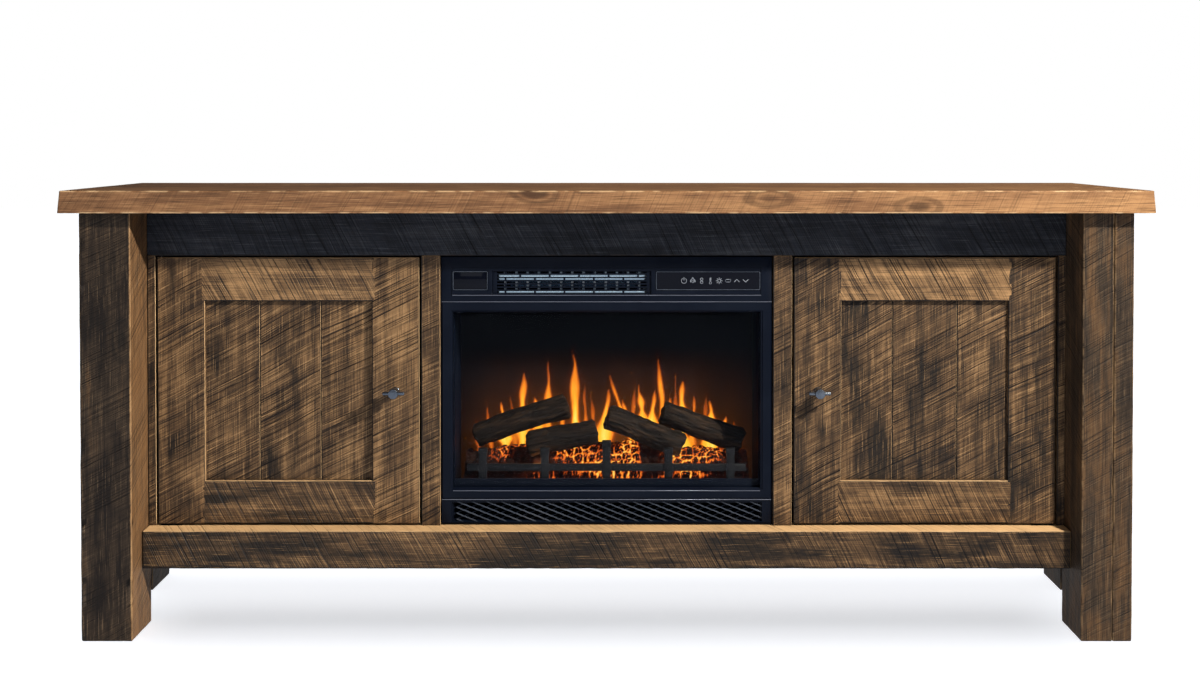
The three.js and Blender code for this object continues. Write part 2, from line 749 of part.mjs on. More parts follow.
function makeSpinnerMotor() {
  const left = -housingInner + fitGap;
  const body = rod(spinnerMotorRadius, spinnerMotorLength, 'x').translate(left + spinnerMotorLength / 2, 0, 0);
  const socket = rod(spinnerRodRadius + runningGap, 2 * bushLength, 'x').translate(left + spinnerMotorLength, 0, 0);
  return mesh('spinner_motor', 'plainSteel', shaped([body], [socket]), [0, ...spinnerAxis]);
}

// A cross-flow wheel: three discs on a shaft, joined by vanes round their rims.
function makeBlowerWheel() {
  const discs = [-1, 0, 1].map((step) =>
    rod(blowerWheelRadius, 3, 'x').translate((step * (blowerWheelLength - 3)) / 2, 0, 0));
  const vanes = Array.from({ length: blowerVanes }, (_, i) => {
    const vane = new THREE.BoxGeometry(blowerWheelLength, 1.5, 7);
    vane.translate(0, 0, blowerWheelRadius - 4.5);
    vane.rotateX((i * 2 * Math.PI) / blowerVanes);
    return vane;
  });
  const shaftLeft = -blowerWheelLength / 2 - 4 - sheet;
  const shaftRight = blowerWheelLength / 2 + 4 + bushLength;
  const shaft = rod(blowerShaftRadius, shaftRight - shaftLeft, 'x').translate((shaftLeft + shaftRight) / 2, 0, 0);
  return mesh('blower_wheel', 'mirrorFoil', shaped([shaft, ...discs, ...vanes]), [blowerMiddle, ...blowerAxis]);
}

// The blower motor stands on the upper deck on a foot, with its socket on the wheel's shaft.
function makeBlowerMotor() {
  const left = blowerRight + 4;
  const body = rod(blowerMotorRadius, blowerMotorLength, 'x').translate(left + blowerMotorLength / 2, ...blowerAxis);
  const foot = boxGeometry([left + 5, blowerAxis[0] - 15, upperDeckTop + fitGap],
    [left + blowerMotorLength - 5, blowerAxis[0] + 15, blowerAxis[1]]);
  const socket = rod(blowerShaftRadius + runningGap, 2 * (bushLength + 1), 'x').translate(left, ...blowerAxis);
  return mesh('blower_motor', 'plainSteel', shaped([body, foot], [socket]));
}

function makeHeater() {
  const low = upperDeckTop + fitGap;
  const high = housingHigh - sheet - fitGap;
  const pitch = outletWidth / heaterSlots;
  const slots = Array.from({ length: heaterSlots }, (_, i) => {
    const middle = outletLeft + pitch * (i + 0.5);
    return boxGeometry([middle - pitch * 0.4, -1, low + 8], [middle + pitch * 0.4, heaterThickness + 1, high - 8]);
  });
  const frame = boxGeometry([outletLeft, 0, low], [outletRight, heaterThickness, high]);
  return mesh('heating_element', 'brightSteel', shaped([frame], slots), [0, heaterDistance, 0]);
}

function makeLedStrip() {
  const half = housingInner - spinnerMotorLength;
  return block('led_strip', 'circuitBoard',
    [-half, rearMiddle - 6, deckTop + fitGap], [half, rearMiddle + 6, deckTop + 4]);
}

// The relay and the connector keep their places on the board as shares of its width.
function makeControlBoard() {
  const right = windowHalf - 12;
  const low = upperDeckTop + 8;
  const high = housingHigh - 10;
  const across = (share) => touchLeft + share * (right - touchLeft);
  const up = (share) => low + share * (high - low);
  const board = boxGeometry([touchLeft, boardDistance, low], [right, boardDistance + 1.6, high]);
  const relay = boxGeometry([across(0.12), boardDistance + 1, up(0.2)], [across(0.28), boardDistance + 16, up(0.45)]);
  const connector = boxGeometry([across(0.5), boardDistance + 1, up(0.2)],
    [across(0.68), boardDistance + 10, up(0.35)]);
  return mesh('control_board', 'circuitBoard', shaped([board, relay, connector]));
}

// The gland fills its hole in the housing's back wall and has a bore for the mains cord.
function makePowerInlet() {
  const neck = glandHoleRadius - fitGap;
  const gland = new THREE.LatheGeometry([
    new THREE.Vector2(glandBoreRadius, -sheet - 2),
    new THREE.Vector2(neck, -sheet - 2),
    new THREE.Vector2(neck, fitGap),
    new THREE.Vector2(glandFlangeRadius, fitGap),
    new THREE.Vector2(glandFlangeRadius, 5),
    new THREE.Vector2(neck - 1, glandLength),
    new THREE.Vector2(glandBoreRadius, glandLength),
    new THREE.Vector2(glandBoreRadius, -sheet - 2),
  ], 20);
  return mesh('power_inlet', 'blackNylon', gland, [glandPlace[0], insertDepth, glandPlace[1]]);
}

function makeInsert() {
  const insert = new THREE.Group();
  insert.position.set(0, frameFront + bezelSetback, railTop + insertEndGap);
  insert.add(
    makeBezel(),
    makeTouchPanel(),
    makeOutletGrille(),
    makeGlass(),
    makeLowerGrille(),
    makeHousing(),
    makeScreen(),
    makeEmberBed(),
    ...makeLogs(),
    makeGrate(),
    makeSpinner(),
    makeSpinnerMotor(),
    makeBlowerWheel(),
    makeBlowerMotor(),
    makeHeater(),
    makeLedStrip(),
    makeControlBoard(),
    makePowerInlet(),
  );
  return insert;
}

// ---------- Whole piece ----------

const group = new THREE.Group();
group.add(makeTop(), ...makeLegs(), makeApron(), makeBottomRail(), ...makeBackRails(), makeBackPanel(), makeFloor());
for (const [side, sign] of [['left', -1], ['right', 1]]) {
  group.add(
    ...makeStiles(sign, side),
    ...makeSide(sign, side),
    makePartition(sign, side),
    makeShelf(sign, side),
    makeDoor(sign, side),
    makePivot(sign, side, 'top', apronBottom, 1),
    makePivot(sign, side, 'bottom', railTop, -1),
  );
}
group.add(makeInsert());

export default group;
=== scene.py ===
import math

import bmesh
import bpy
import numpy as np
from mathutils import Matrix, Vector


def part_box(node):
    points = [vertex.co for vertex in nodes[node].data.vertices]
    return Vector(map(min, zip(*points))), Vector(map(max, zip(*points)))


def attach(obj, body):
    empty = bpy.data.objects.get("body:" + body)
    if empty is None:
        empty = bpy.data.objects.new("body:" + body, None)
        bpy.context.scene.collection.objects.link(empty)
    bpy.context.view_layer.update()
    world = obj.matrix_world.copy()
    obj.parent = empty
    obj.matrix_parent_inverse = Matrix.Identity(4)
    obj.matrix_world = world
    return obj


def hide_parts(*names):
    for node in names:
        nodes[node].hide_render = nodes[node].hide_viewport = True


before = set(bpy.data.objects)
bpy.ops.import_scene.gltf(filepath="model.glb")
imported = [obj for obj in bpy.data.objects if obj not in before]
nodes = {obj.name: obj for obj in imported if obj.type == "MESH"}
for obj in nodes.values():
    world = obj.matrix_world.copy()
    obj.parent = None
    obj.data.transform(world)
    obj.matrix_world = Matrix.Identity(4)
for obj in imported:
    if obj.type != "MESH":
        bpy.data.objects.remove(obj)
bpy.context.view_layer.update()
print("frame loaded with", len(nodes), "nodes")

# camera, lights and floor

viewing = {
    "lens": 41.25,
    "place": (0.0, -2.487, 0.852),
    "pitch": 1.05,              # degrees downwards
    "shift": (-0.0055, -0.145),
}
lighting = {
    "aim": (0, 0, 0.4),
    "keyPlace": (1.0, -0.86, 1.33),
    "keyPower": 72.0,
    "keySize": 0.03,
    "keyColour": (1, 0.915, 0.775),
    "fillPlace": (-0.4, -2.6, 1.5),
    "fillPower": 7.0,
    "fillSize": 1.4,
    "fillColour": (0.95, 0.97, 1),
    "sky": 0.10,
    "floorGlow": 0.36,          # seen by the camera alone
    "overheadPower": 2.7,       # falls on the floor alone
    "overheadSpread": 82.0,     # degrees
    "emberPower": 0.10,
    "emberSize": 0.02,
    "emberColour": (1, 0.42, 0.12),
}
floorLook = {
    "half": 14,
    "colour": (0.86, 0.88, 0.92, 1),
    "glowColour": (0.96, 0.97, 1.0, 1),
}


def addCamera():
    camera = bpy.data.objects.new("camera", bpy.data.cameras.new("camera"))
    bpy.context.scene.collection.objects.link(camera)
    camera.data.lens = viewing["lens"]
    camera.data.sensor_width = 36
    camera.data.shift_x, camera.data.shift_y = viewing["shift"]
    camera.location = viewing["place"]
    camera.rotation_euler = (math.radians(90 - viewing["pitch"]), 0, 0)
    camera.data.clip_end = 60
    bpy.context.scene.camera = camera


def addLight(name, kind, place, target, power, size, colour=(1, 1, 1)):
    light = bpy.data.lights.new(name, kind)
    light.energy = power
    light.color = colour
    if kind == "AREA":
        light.size = size
    else:
        light.shadow_soft_size = size
    lamp = bpy.data.objects.new(name, light)
    bpy.context.scene.collection.objects.link(lamp)
    lamp.location = place
    lamp.rotation_euler = (Vector(target) - Vector(place)).to_track_quat("-Z", "Y").to_euler()
    return lamp


def evenOut(lamp):
    # the key keeps its strength over its distance, as a far lamp does, so both ends are lit alike
    light = lamp.data
    light.use_nodes = True
    tree = light.node_tree
    falloff = tree.nodes.new("ShaderNodeLightFalloff")
    falloff.inputs["Strength"].default_value = 1.0
    tree.links.new(falloff.outputs["Constant"], tree.nodes["Emission"].inputs["Strength"])


litPieces = bpy.data.collections.new("litPieces")
lowRails = bpy.data.collections.new("lowRails")
for node in nodes.values():
    litPieces.objects.link(node)


def cabinetOnly(lamp):
    # the pale floor stays even: only the pieces of the cabinet take the key's light
    lamp.light_linking.receiver_collection = litPieces


def addWorld():
    world = bpy.data.worlds.new("studio")
    bpy.context.scene.world = world
    world.use_nodes = True
    tree = world.node_tree
    tree.nodes.clear()
    path = tree.nodes.new("ShaderNodeLightPath")
    seen = tree.nodes.new("ShaderNodeBackground")
    seen.inputs["Color"].default_value = (1, 1, 1, 1)
    lit = tree.nodes.new("ShaderNodeBackground")
    lit.inputs["Color"].default_value = (0.93, 0.96, 1.0, 1)
    lit.inputs["Strength"].default_value = lighting["sky"]
    chosen = tree.nodes.new("ShaderNodeMixShader")
    output = tree.nodes.new("ShaderNodeOutputWorld")
    tree.links.new(path.outputs["Is Camera Ray"], chosen.inputs[0])
    tree.links.new(lit.outputs[0], chosen.inputs[1])
    tree.links.new(seen.outputs[0], chosen.inputs[2])
    tree.links.new(chosen.outputs[0], output.inputs[0])


def addFloor():
    mesh = bpy.data.meshes.new("studioFloor")
    half = floorLook["half"]
    spots = [(-half, -half, 0), (half, -half, 0), (half, half, 0), (-half, half, 0)]
    mesh.from_pydata(spots, [], [(0, 1, 2, 3)])
    floor = bpy.data.objects.new("studioFloor", mesh)
    bpy.context.scene.collection.objects.link(floor)
    paint = bpy.data.materials.new("paleFloor")
    paint.use_nodes = True
    shader = paint.node_tree.nodes["Principled BSDF"]
    shader.inputs["Base Color"].default_value = floorLook["colour"]
    shader.inputs["Roughness"].default_value = 0.9
    shader.inputs["Specular IOR Level"].default_value = 0.1
    shader.inputs["Emission Color"].default_value = floorLook["glowColour"]
    path = paint.node_tree.nodes.new("ShaderNodeLightPath")
    glow = paint.node_tree.nodes.new("ShaderNodeMath")
    glow.operation = "MULTIPLY"
    glow.inputs[1].default_value = lighting["floorGlow"]
    paint.node_tree.links.new(path.outputs["Is Camera Ray"], glow.inputs[0])
    paint.node_tree.links.new(glow.outputs[0], shader.inputs["Emission Strength"])
    mesh.materials.append(paint)
    return floor


def addOverhead(floor):
    # light for the floor alone, in which the low rails cast a soft band
    overhead = addLight("overhead", "SUN", (0, 0, 3), (0, 0, 0), lighting["overheadPower"], 0.1)
    overhead.data.angle = math.radians(lighting["overheadSpread"])
    group = bpy.data.collections.new("floorGroup")
    group.objects.link(floor)
    overhead.light_linking.receiver_collection = group
    overhead.light_linking.blocker_collection = lowRails


bpy.context.scene.view_settings.view_transform = "Standard"
addCamera()
key = addLight("key", "POINT", lighting["keyPlace"], lighting["aim"], lighting["keyPower"],
               lighting["keySize"], lighting["keyColour"])
evenOut(key)
cabinetOnly(key)
addLight("fill", "AREA", lighting["fillPlace"], lighting["aim"], lighting["fillPower"],
         lighting["fillSize"], lighting["fillColour"])
addWorld()
addOverhead(addFloor())
print("camera, lights and floor set")

# a finish is one material; a wire is one of its sockets, so that shader maths reads as plain sums


class Wire:
    def __init__(self, finish, socket):
        self.finish = finish
        self.socket = socket

    def __add__(self, other):
        return self.finish.sum("ADD", self, other)

    def __radd__(self, other):
        return self.finish.sum("ADD", other, self)

    def __sub__(self, other):
        return self.finish.sum("SUBTRACT", self, other)

    def __rsub__(self, other):
        return self.finish.sum("SUBTRACT", other, self)

    def __mul__(self, other):
        return self.finish.sum("MULTIPLY", self, other)

    def __rmul__(self, other):
        return self.finish.sum("MULTIPLY", other, self)

    def __truediv__(self, other):
        return self.finish.sum("DIVIDE", self, other)

    def __abs__(self):
        return self.finish.sum("ABSOLUTE", self, 0.0)


class Finish:
    def __init__(self, name):
        self.material = bpy.data.materials.new(name)
        self.material.use_nodes = True
        self.tree = self.material.node_tree
        self.tree.nodes.clear()

    def feed(self, socket, value):
        if isinstance(value, Wire):
            self.tree.links.new(value.socket, socket)
        elif socket.type == "RGBA" and len(value) == 3:
            socket.default_value = (*value, 1)
        else:
            socket.default_value = value

    def node(self, kind, settings=None, sockets=None, take=0):
        made = self.tree.nodes.new(kind)
        for name, value in (settings or {}).items():
            if name == "stops":
                stops = made.color_ramp.elements
                while len(stops) < len(value):
                    stops.new(1.0)
                for stop, (place, colour) in zip(stops, value):
                    stop.position = place
                    stop.color = (*colour, 1)
            else:
                setattr(made, name, value)
        for name, value in (sockets or {}).items():
            self.feed(made.inputs[name], value)
        return Wire(self, made.outputs[take])

    def sum(self, operation, first, second):
        kinds = [w.socket.type for w in (first, second) if isinstance(w, Wire)]
        tuples = [v for v in (first, second) if isinstance(v, tuple)]
        if tuples or any(kind in ("VECTOR", "RGBA") for kind in kinds):
            first, second = (v if isinstance(v, (Wire, tuple)) else (v, v, v) for v in (first, second))
            return self.node("ShaderNodeVectorMath", {"operation": operation}, {0: first, 1: second})
        return self.node("ShaderNodeMath", {"operation": operation}, {0: first, 1: second})

    def attribute(self, name, take="Fac"):
        return self.node("ShaderNodeAttribute", {"attribute_name": name}, None, take)

    def place(self):
        return self.node("ShaderNodeTexCoord", None, None, "Object")

    def split(self, vector):
        made = self.node("ShaderNodeSeparateXYZ", None, {0: vector})
        return [Wire(self, out) for out in made.socket.node.outputs]

    def join(self, x, y, z):
        return self.node("ShaderNodeCombineXYZ", None, {0: x, 1: y, 2: z})

    def noise(self, vector, scale=1.0, detail=2.0, roughness=0.5, distortion=0.0):
        return self.node("ShaderNodeTexNoise", None,
                         {"Vector": vector, "Scale": scale, "Detail": detail,
                          "Roughness": roughness, "Distortion": distortion})

    def cells(self, vector, randomness=1.0):
        # distance to the nearest of the scattered centres, and three chances that its cell drew
        near = self.node("ShaderNodeTexVoronoi", {"feature": "F1"},
                         {"Vector": vector, "Scale": 1.0, "Randomness": randomness}, "Distance")
        return near, self.split(Wire(self, near.socket.node.outputs["Color"]))

    def spread(self, value, low, high, toLow=0.0, toHigh=1.0):
        return self.node("ShaderNodeMapRange", {"interpolation_type": "SMOOTHSTEP"},
                         {"Value": value, "From Min": low, "From Max": high,
                          "To Min": toLow, "To Max": toHigh})

    def ramp(self, value, stops):
        return self.node("ShaderNodeValToRGB", {"stops": stops}, {0: value})

    def blend(self, factor, first, second, way="MIX"):
        return self.node("ShaderNodeMix", {"data_type": "RGBA", "blend_type": way},
                         {0: factor, 6: first, 7: second}, 2)

    def bump(self, height, strength, distance):
        return self.node("ShaderNodeBump", None,
                         {"Height": height, "Strength": strength, "Distance": distance})

    def surface(self, sockets):
        shader = self.node("ShaderNodeBsdfPrincipled", None, sockets)
        output = self.tree.nodes.new("ShaderNodeOutputMaterial")
        self.tree.links.new(shader.socket, output.inputs["Surface"])
        return self.material


# timber: every board carries its own grain coordinates (along, across, depth) in metres

# each timber's pale arris colour serves for worn arrises and also for its painted highlights
sawnTimbers = {
    "topTimber": {
        "dark": (0.085, 0.040, 0.021), "mid": (0.245, 0.120, 0.056), "light": (0.47, 0.255, 0.115),
        "groove": (0.045, 0.022, 0.012), "ridge": (0.58, 0.34, 0.17), "wornAndLit": (0.80, 0.55, 0.31),
        "stroke": 0.011, "joint": 0.0, "edge": 0.6, "sawing": 0.25, "grooves": 0.3,
        "patches": 0.5, "fibre": 0.8, "relief": 0.35, "roughness": 0.52,
    },
    # the apron's timber: a dark wood whose colours are also darkened and blued as painted shade of the slab's
    # shadow and its cool light
    "darkTimber": {
        "dark": (0.004, 0.005, 0.009), "mid": (0.014, 0.017, 0.026), "light": (0.050, 0.053, 0.062),
        "groove": (0.0012, 0.0016, 0.003), "ridge": (0.100, 0.108, 0.125), "wornAndLit": (0.42, 0.25, 0.12),
        "stroke": 0.0085, "joint": 0.5, "edge": 0.06, "sawing": 0.55, "grooves": 0.8,
        "patches": 0.7, "fibre": 0.6, "relief": 0.9, "roughness": 0.6,
    },
    "legTimber": {
        "dark": (0.012, 0.008, 0.0065), "mid": (0.044, 0.029, 0.019), "light": (0.150, 0.078, 0.033),
        "groove": (0.006, 0.005, 0.005), "ridge": (0.22, 0.15, 0.09), "wornAndLit": (0.60, 0.38, 0.19),
        "stroke": 0.010, "joint": 0.2, "edge": 0.22, "sawing": 0.5, "grooves": 0.7,
        "patches": 0.8, "fibre": 0.8, "relief": 0.9, "roughness": 0.62,
    },
    "brownTimber": {
        "dark": (0.020, 0.014, 0.010), "mid": (0.100, 0.057, 0.029), "light": (0.34, 0.198, 0.092),
        "groove": (0.005, 0.0055, 0.008), "ridge": (0.48, 0.295, 0.145), "wornAndLit": (0.70, 0.46, 0.24),
        "stroke": 0.0100, "joint": 0.95, "edge": 0.14, "sawing": 1.0, "grooves": 1.0,
        "patches": 0.9, "fibre": 0.7, "relief": 1.0, "roughness": 0.6,
    },
    "plainBoard": {
        "dark": (0.05, 0.032, 0.02), "mid": (0.12, 0.078, 0.046), "light": (0.20, 0.135, 0.082),
        "groove": (0.03, 0.02, 0.014), "ridge": (0.22, 0.15, 0.09), "wornAndLit": (0.30, 0.2, 0.12),
        "stroke": 0.012, "joint": 0.5, "edge": 0.1, "sawing": 0.15, "grooves": 0.1,
        "patches": 0.5, "fibre": 0.9, "relief": 0.3, "roughness": 0.55,
    },
}
sawAngle = math.radians(27)


def timber(name):
    look = sawnTimbers[name]
    finish = Finish(name)
    along, across, depth = finish.split(finish.attribute("grain", "Vector"))
    tone = finish.attribute("tone")
    wear = finish.attribute("wear")
    cut = finish.attribute("cut")
    side = across + depth
    wander = finish.noise(finish.join(along * 2.2, side * 5.0, depth * 2.0), 1.0, 1.0)
    # saw marks run at a slant across the board, gently arced, one stroke after another
    slant = along * math.cos(sawAngle) - side * math.sin(sawAngle) + (wander - 0.5) * 0.022
    run = along * math.sin(sawAngle) + side * math.cos(sawAngle)
    clusters = finish.spread(finish.noise(finish.join(along * 11.0, side * 9.0, depth), 1.0, 2.0), 0.36, 0.60)

    def strokes(pitch, width, jitter, seed):
        uneven = finish.noise(finish.join(slant * 0.45 / pitch, run * 2.5, seed), 1.0, 1.0)
        phase = slant / pitch + uneven * jitter
        number = finish.node("ShaderNodeMath", {"operation": "FLOOR"}, {0: phase})
        chance = finish.node("ShaderNodeTexWhiteNoise", {"noise_dimensions": "1D"},
                             {"W": number + seed}, "Value")
        fading = finish.noise(finish.join(number * 3.7 + seed, run * 16.0, 0.0), 1.0, 1.5)
        depthHere = finish.spread(fading + (chance - 0.5) * 0.55, 0.36, 0.66)
        return (1.0 - finish.spread(abs(phase - number - 0.5), width * 0.25, width)) * depthHere

    fineMarks = finish.noise(finish.join(slant * 640.0, run * 13.0, depth * 3.0), 1.0, 3.0, 0.62)
    broadMarks = finish.noise(finish.join(slant * 130.0, run * 7.0, depth * 3.0), 1.0, 2.0, 0.5)
    deepLines = strokes(look["stroke"], 0.125, 1.6, 3.0) * (0.55 + clusters * 0.45)
    thinLines = strokes(look["stroke"] * 0.37, 0.20, 1.2, 8.0) * (0.45 + clusters * 0.55)
    fibre = finish.noise(finish.join(along * 16.0, across * 620.0, depth * 620.0), 1.0, 3.0, 0.65)
    streaks = finish.noise(finish.join(along * 4.0, across * 75.0, depth * 75.0), 1.0, 3.0, 0.6, 0.4)
    patches = finish.noise(finish.join(along * 6.5, across * 15.0, depth * 15.0 + 5.0), 1.0, 4.0, 0.6, 0.5)
    # knots sit in a few of the cells of a loose lattice
    cell = finish.join(along * 3.4 + wander * 0.3, across * 8.5 + wander * 0.3, depth * 8.5)
    fromKnot, chances = finish.cells(cell, 0.9)
    knotHere = finish.spread(chances[0], 0.60, 0.64)
    knotCore = (1.0 - finish.spread(fromKnot, 0.07, 0.12)) * knotHere
    knotRing = (1.0 - finish.spread(abs(fromKnot - 0.14), 0.01, 0.035)) * knotHere
    # colour, from the stain up to the worn arrises
    # tones from 1.4 up (the lower rail's upper face) take a painted highlight in the pale arris colour
    paintedTopHighlight = finish.spread(tone, 1.4, 2.0)
    level = 0.5 + (patches - 0.5) * (1.5 * look["patches"]) + (streaks - 0.5) * 0.9 + (tone - 0.5)
    colour = finish.ramp(level, [(0.0, look["dark"]), (0.18, look["dark"]),
                                 (0.52, look["mid"]), (0.95, look["light"])])
    ridges = finish.spread(fineMarks, 0.50, 0.72) * finish.spread(level, 0.15, 0.6)
    colour = finish.blend(ridges * (0.72 * look["sawing"]), colour, look["ridge"])
    shade = finish.spread(broadMarks, 0.34, 0.54, 1.0, 0.0) * (0.35 + clusters * 0.65)
    colour = finish.blend(shade * (0.50 * look["sawing"]), colour, look["groove"])
    colour = finish.blend(finish.spread(fibre, 0.50, 0.36) * (0.72 * look["fibre"]), colour, look["groove"])
    colour = finish.blend(finish.spread(fibre, 0.58, 0.70) * (0.62 * look["fibre"]), colour, look["ridge"])
    colour = finish.blend(deepLines * (0.92 * look["grooves"]), colour, look["groove"])
    colour = finish.blend(thinLines * (0.92 * look["grooves"]), colour, look["groove"])
    colour = finish.blend(knotRing * 0.45, colour, look["groove"])
    colour = finish.blend(knotCore * 0.75, colour, look["groove"])
    # end grain is darker, with growth rings
    ringPlace = finish.node("ShaderNodeVectorMath", {"operation": "LENGTH"},
                            {0: finish.join(across + 0.05, depth * 1.3 - 0.06, 0.0)}, "Value")
    ringLine = finish.join(ringPlace + (wander - 0.5) * 0.006, 0.0, 0.0)
    rings = finish.node("ShaderNodeTexWave", {"wave_type": "BANDS"},
                        {"Vector": ringLine, "Scale": 70.0, "Distortion": 1.2}, "Fac")
    colour = finish.blend(cut * 0.55, colour, finish.blend(rings, look["groove"], look["mid"]))
    colour = finish.blend(paintedTopHighlight * (0.45 + streaks * 0.4), colour, look["wornAndLit"])
    rubbing = finish.noise(finish.join(along * 38.0, side * 50.0, depth * 50.0), 1.0, 3.0)
    wornEdge = wear * finish.spread(rubbing, 0.40, 0.62)
    colour = finish.blend(wornEdge * look["edge"], colour, look["wornAndLit"])
    # joints are dark, but the arrises turned up or to the right, towards the key, get a painted highlight in
    # the pale arris colour
    nx, ny, nz = finish.split(finish.node("ShaderNodeTexCoord", None, None, "Normal"))
    keySideHighlight = finish.spread(nx + nz, 0.25, 0.65)
    line = finish.spread(wear, 0.45, 0.85) * look["joint"]
    colour = finish.blend(line, colour, finish.blend(keySideHighlight * 0.7, look["groove"], look["wornAndLit"]))
    height = fibre * 0.25 + fineMarks * (0.55 * look["sawing"] + 0.1) + broadMarks * (0.8 * look["sawing"])
    height = height - deepLines * (1.1 * look["grooves"]) - thinLines * (0.6 * look["grooves"])
    height = height - knotCore * 0.5
    return finish.surface({
        "Base Color": colour,
        "Roughness": look["roughness"] + (fineMarks - 0.5) * 0.25,
        "Specular IOR Level": 0.20,
        "Normal": finish.bump(height, 0.85 * look["relief"], 0.0014),
    })


timbers = {name: timber(name) for name in sawnTimbers}
print("timber finishes mixed")


def softNoise(points, seed=0):
    # value noise on a whole-number lattice, the same on every run
    points = np.asarray(points, float)
    base = np.floor(points).astype(np.int64)
    part = points - base
    part = part * part * (3 - 2 * part)
    total = np.zeros(len(points))
    for corner in range(8):
        step = np.array([corner & 1, corner >> 1 & 1, corner >> 2])
        spot = base + step
        mixed = spot[:, 0] * 374761393 + spot[:, 1] * 668265263 + spot[:, 2] * 1440662683
        mixed = mixed + seed * 974634777
        mixed = (mixed ^ (mixed >> 13)) * 1274126177
        value = ((mixed ^ (mixed >> 16)) & 0xFFFFFF) / float(0xFFFFFF)
        total += value * np.prod(np.where(step == 1, part, 1 - part), axis=1)
    return total


axisIndex = {"x": 0, "y": 1, "z": 2}
boardCut = {
    "arris": 0.0012,        # radius of a worn arris
    "band": 0.0030,         # width of the worn band beside it
    "step": 0.010,          # distance between stations along the grain
    "cross": 0.009,         # the same across it
    "wave": 0.0005,         # how far a sawn face dips
    "chip": 0.0010,         # how deep a chipped arris goes
}


def boardSection(width, thick, arris, band, cross):
    # round one board: rounded corners, a band beside each, then even steps between them
    spots, swell, normals, wornAndLit = [], [], [], []
    turns = [(1, 1, 0), (-1, 1, 90), (-1, -1, 180), (1, -1, 270)]
    for index, (sx, sy, turn) in enumerate(turns):
        corner = np.array([sx * width / 2, sy * thick / 2])
        for angle in (0, 30, 60, 90):
            theta = math.radians(turn + angle)
            ray = np.array([math.cos(theta), math.sin(theta)])
            spots.append(corner)
            swell.append(ray - (sx, sy))
            normals.append(ray)
            wornAndLit.append(1.0)
        nx, ny, _ = turns[(index + 1) % 4]
        end = np.array([nx * width / 2, ny * thick / 2])
        span = np.linalg.norm(end - corner)
        outward = np.array([math.cos(math.radians(turn + 90)), math.sin(math.radians(turn + 90))])
        count = max(1, int(round((span - 2 * band) / cross)))
        for share in np.linspace(band / span, 1 - band / span, count + 1):
            spots.append(corner + (end - corner) * share)
            swell.append(np.zeros(2))
            normals.append(outward)
            wornAndLit.append(0.0)
    return [np.array(part) for part in (spots, swell, normals, wornAndLit)]


def boardFaces(ring, total):
    # rings of the board, then one ring more inside each end
    j = np.arange(ring)
    following = (j + 1) % ring
    faces = []
    for station in range(total - 1):
        first, second = station * ring, (station + 1) * ring
        faces += np.c_[first + j, first + following, second + following, second + j].tolist()
    last, lowCap, highCap = (total - 1) * ring, total * ring, (total + 1) * ring
    faces += np.c_[j, lowCap + j, lowCap + following, following].tolist()
    faces += np.c_[last + j, last + following, highCap + following, highCap + j].tolist()
    faces.append([int(v) for v in lowCap + j[::-1]])
    faces.append([int(v) for v in highCap + j])
    return faces


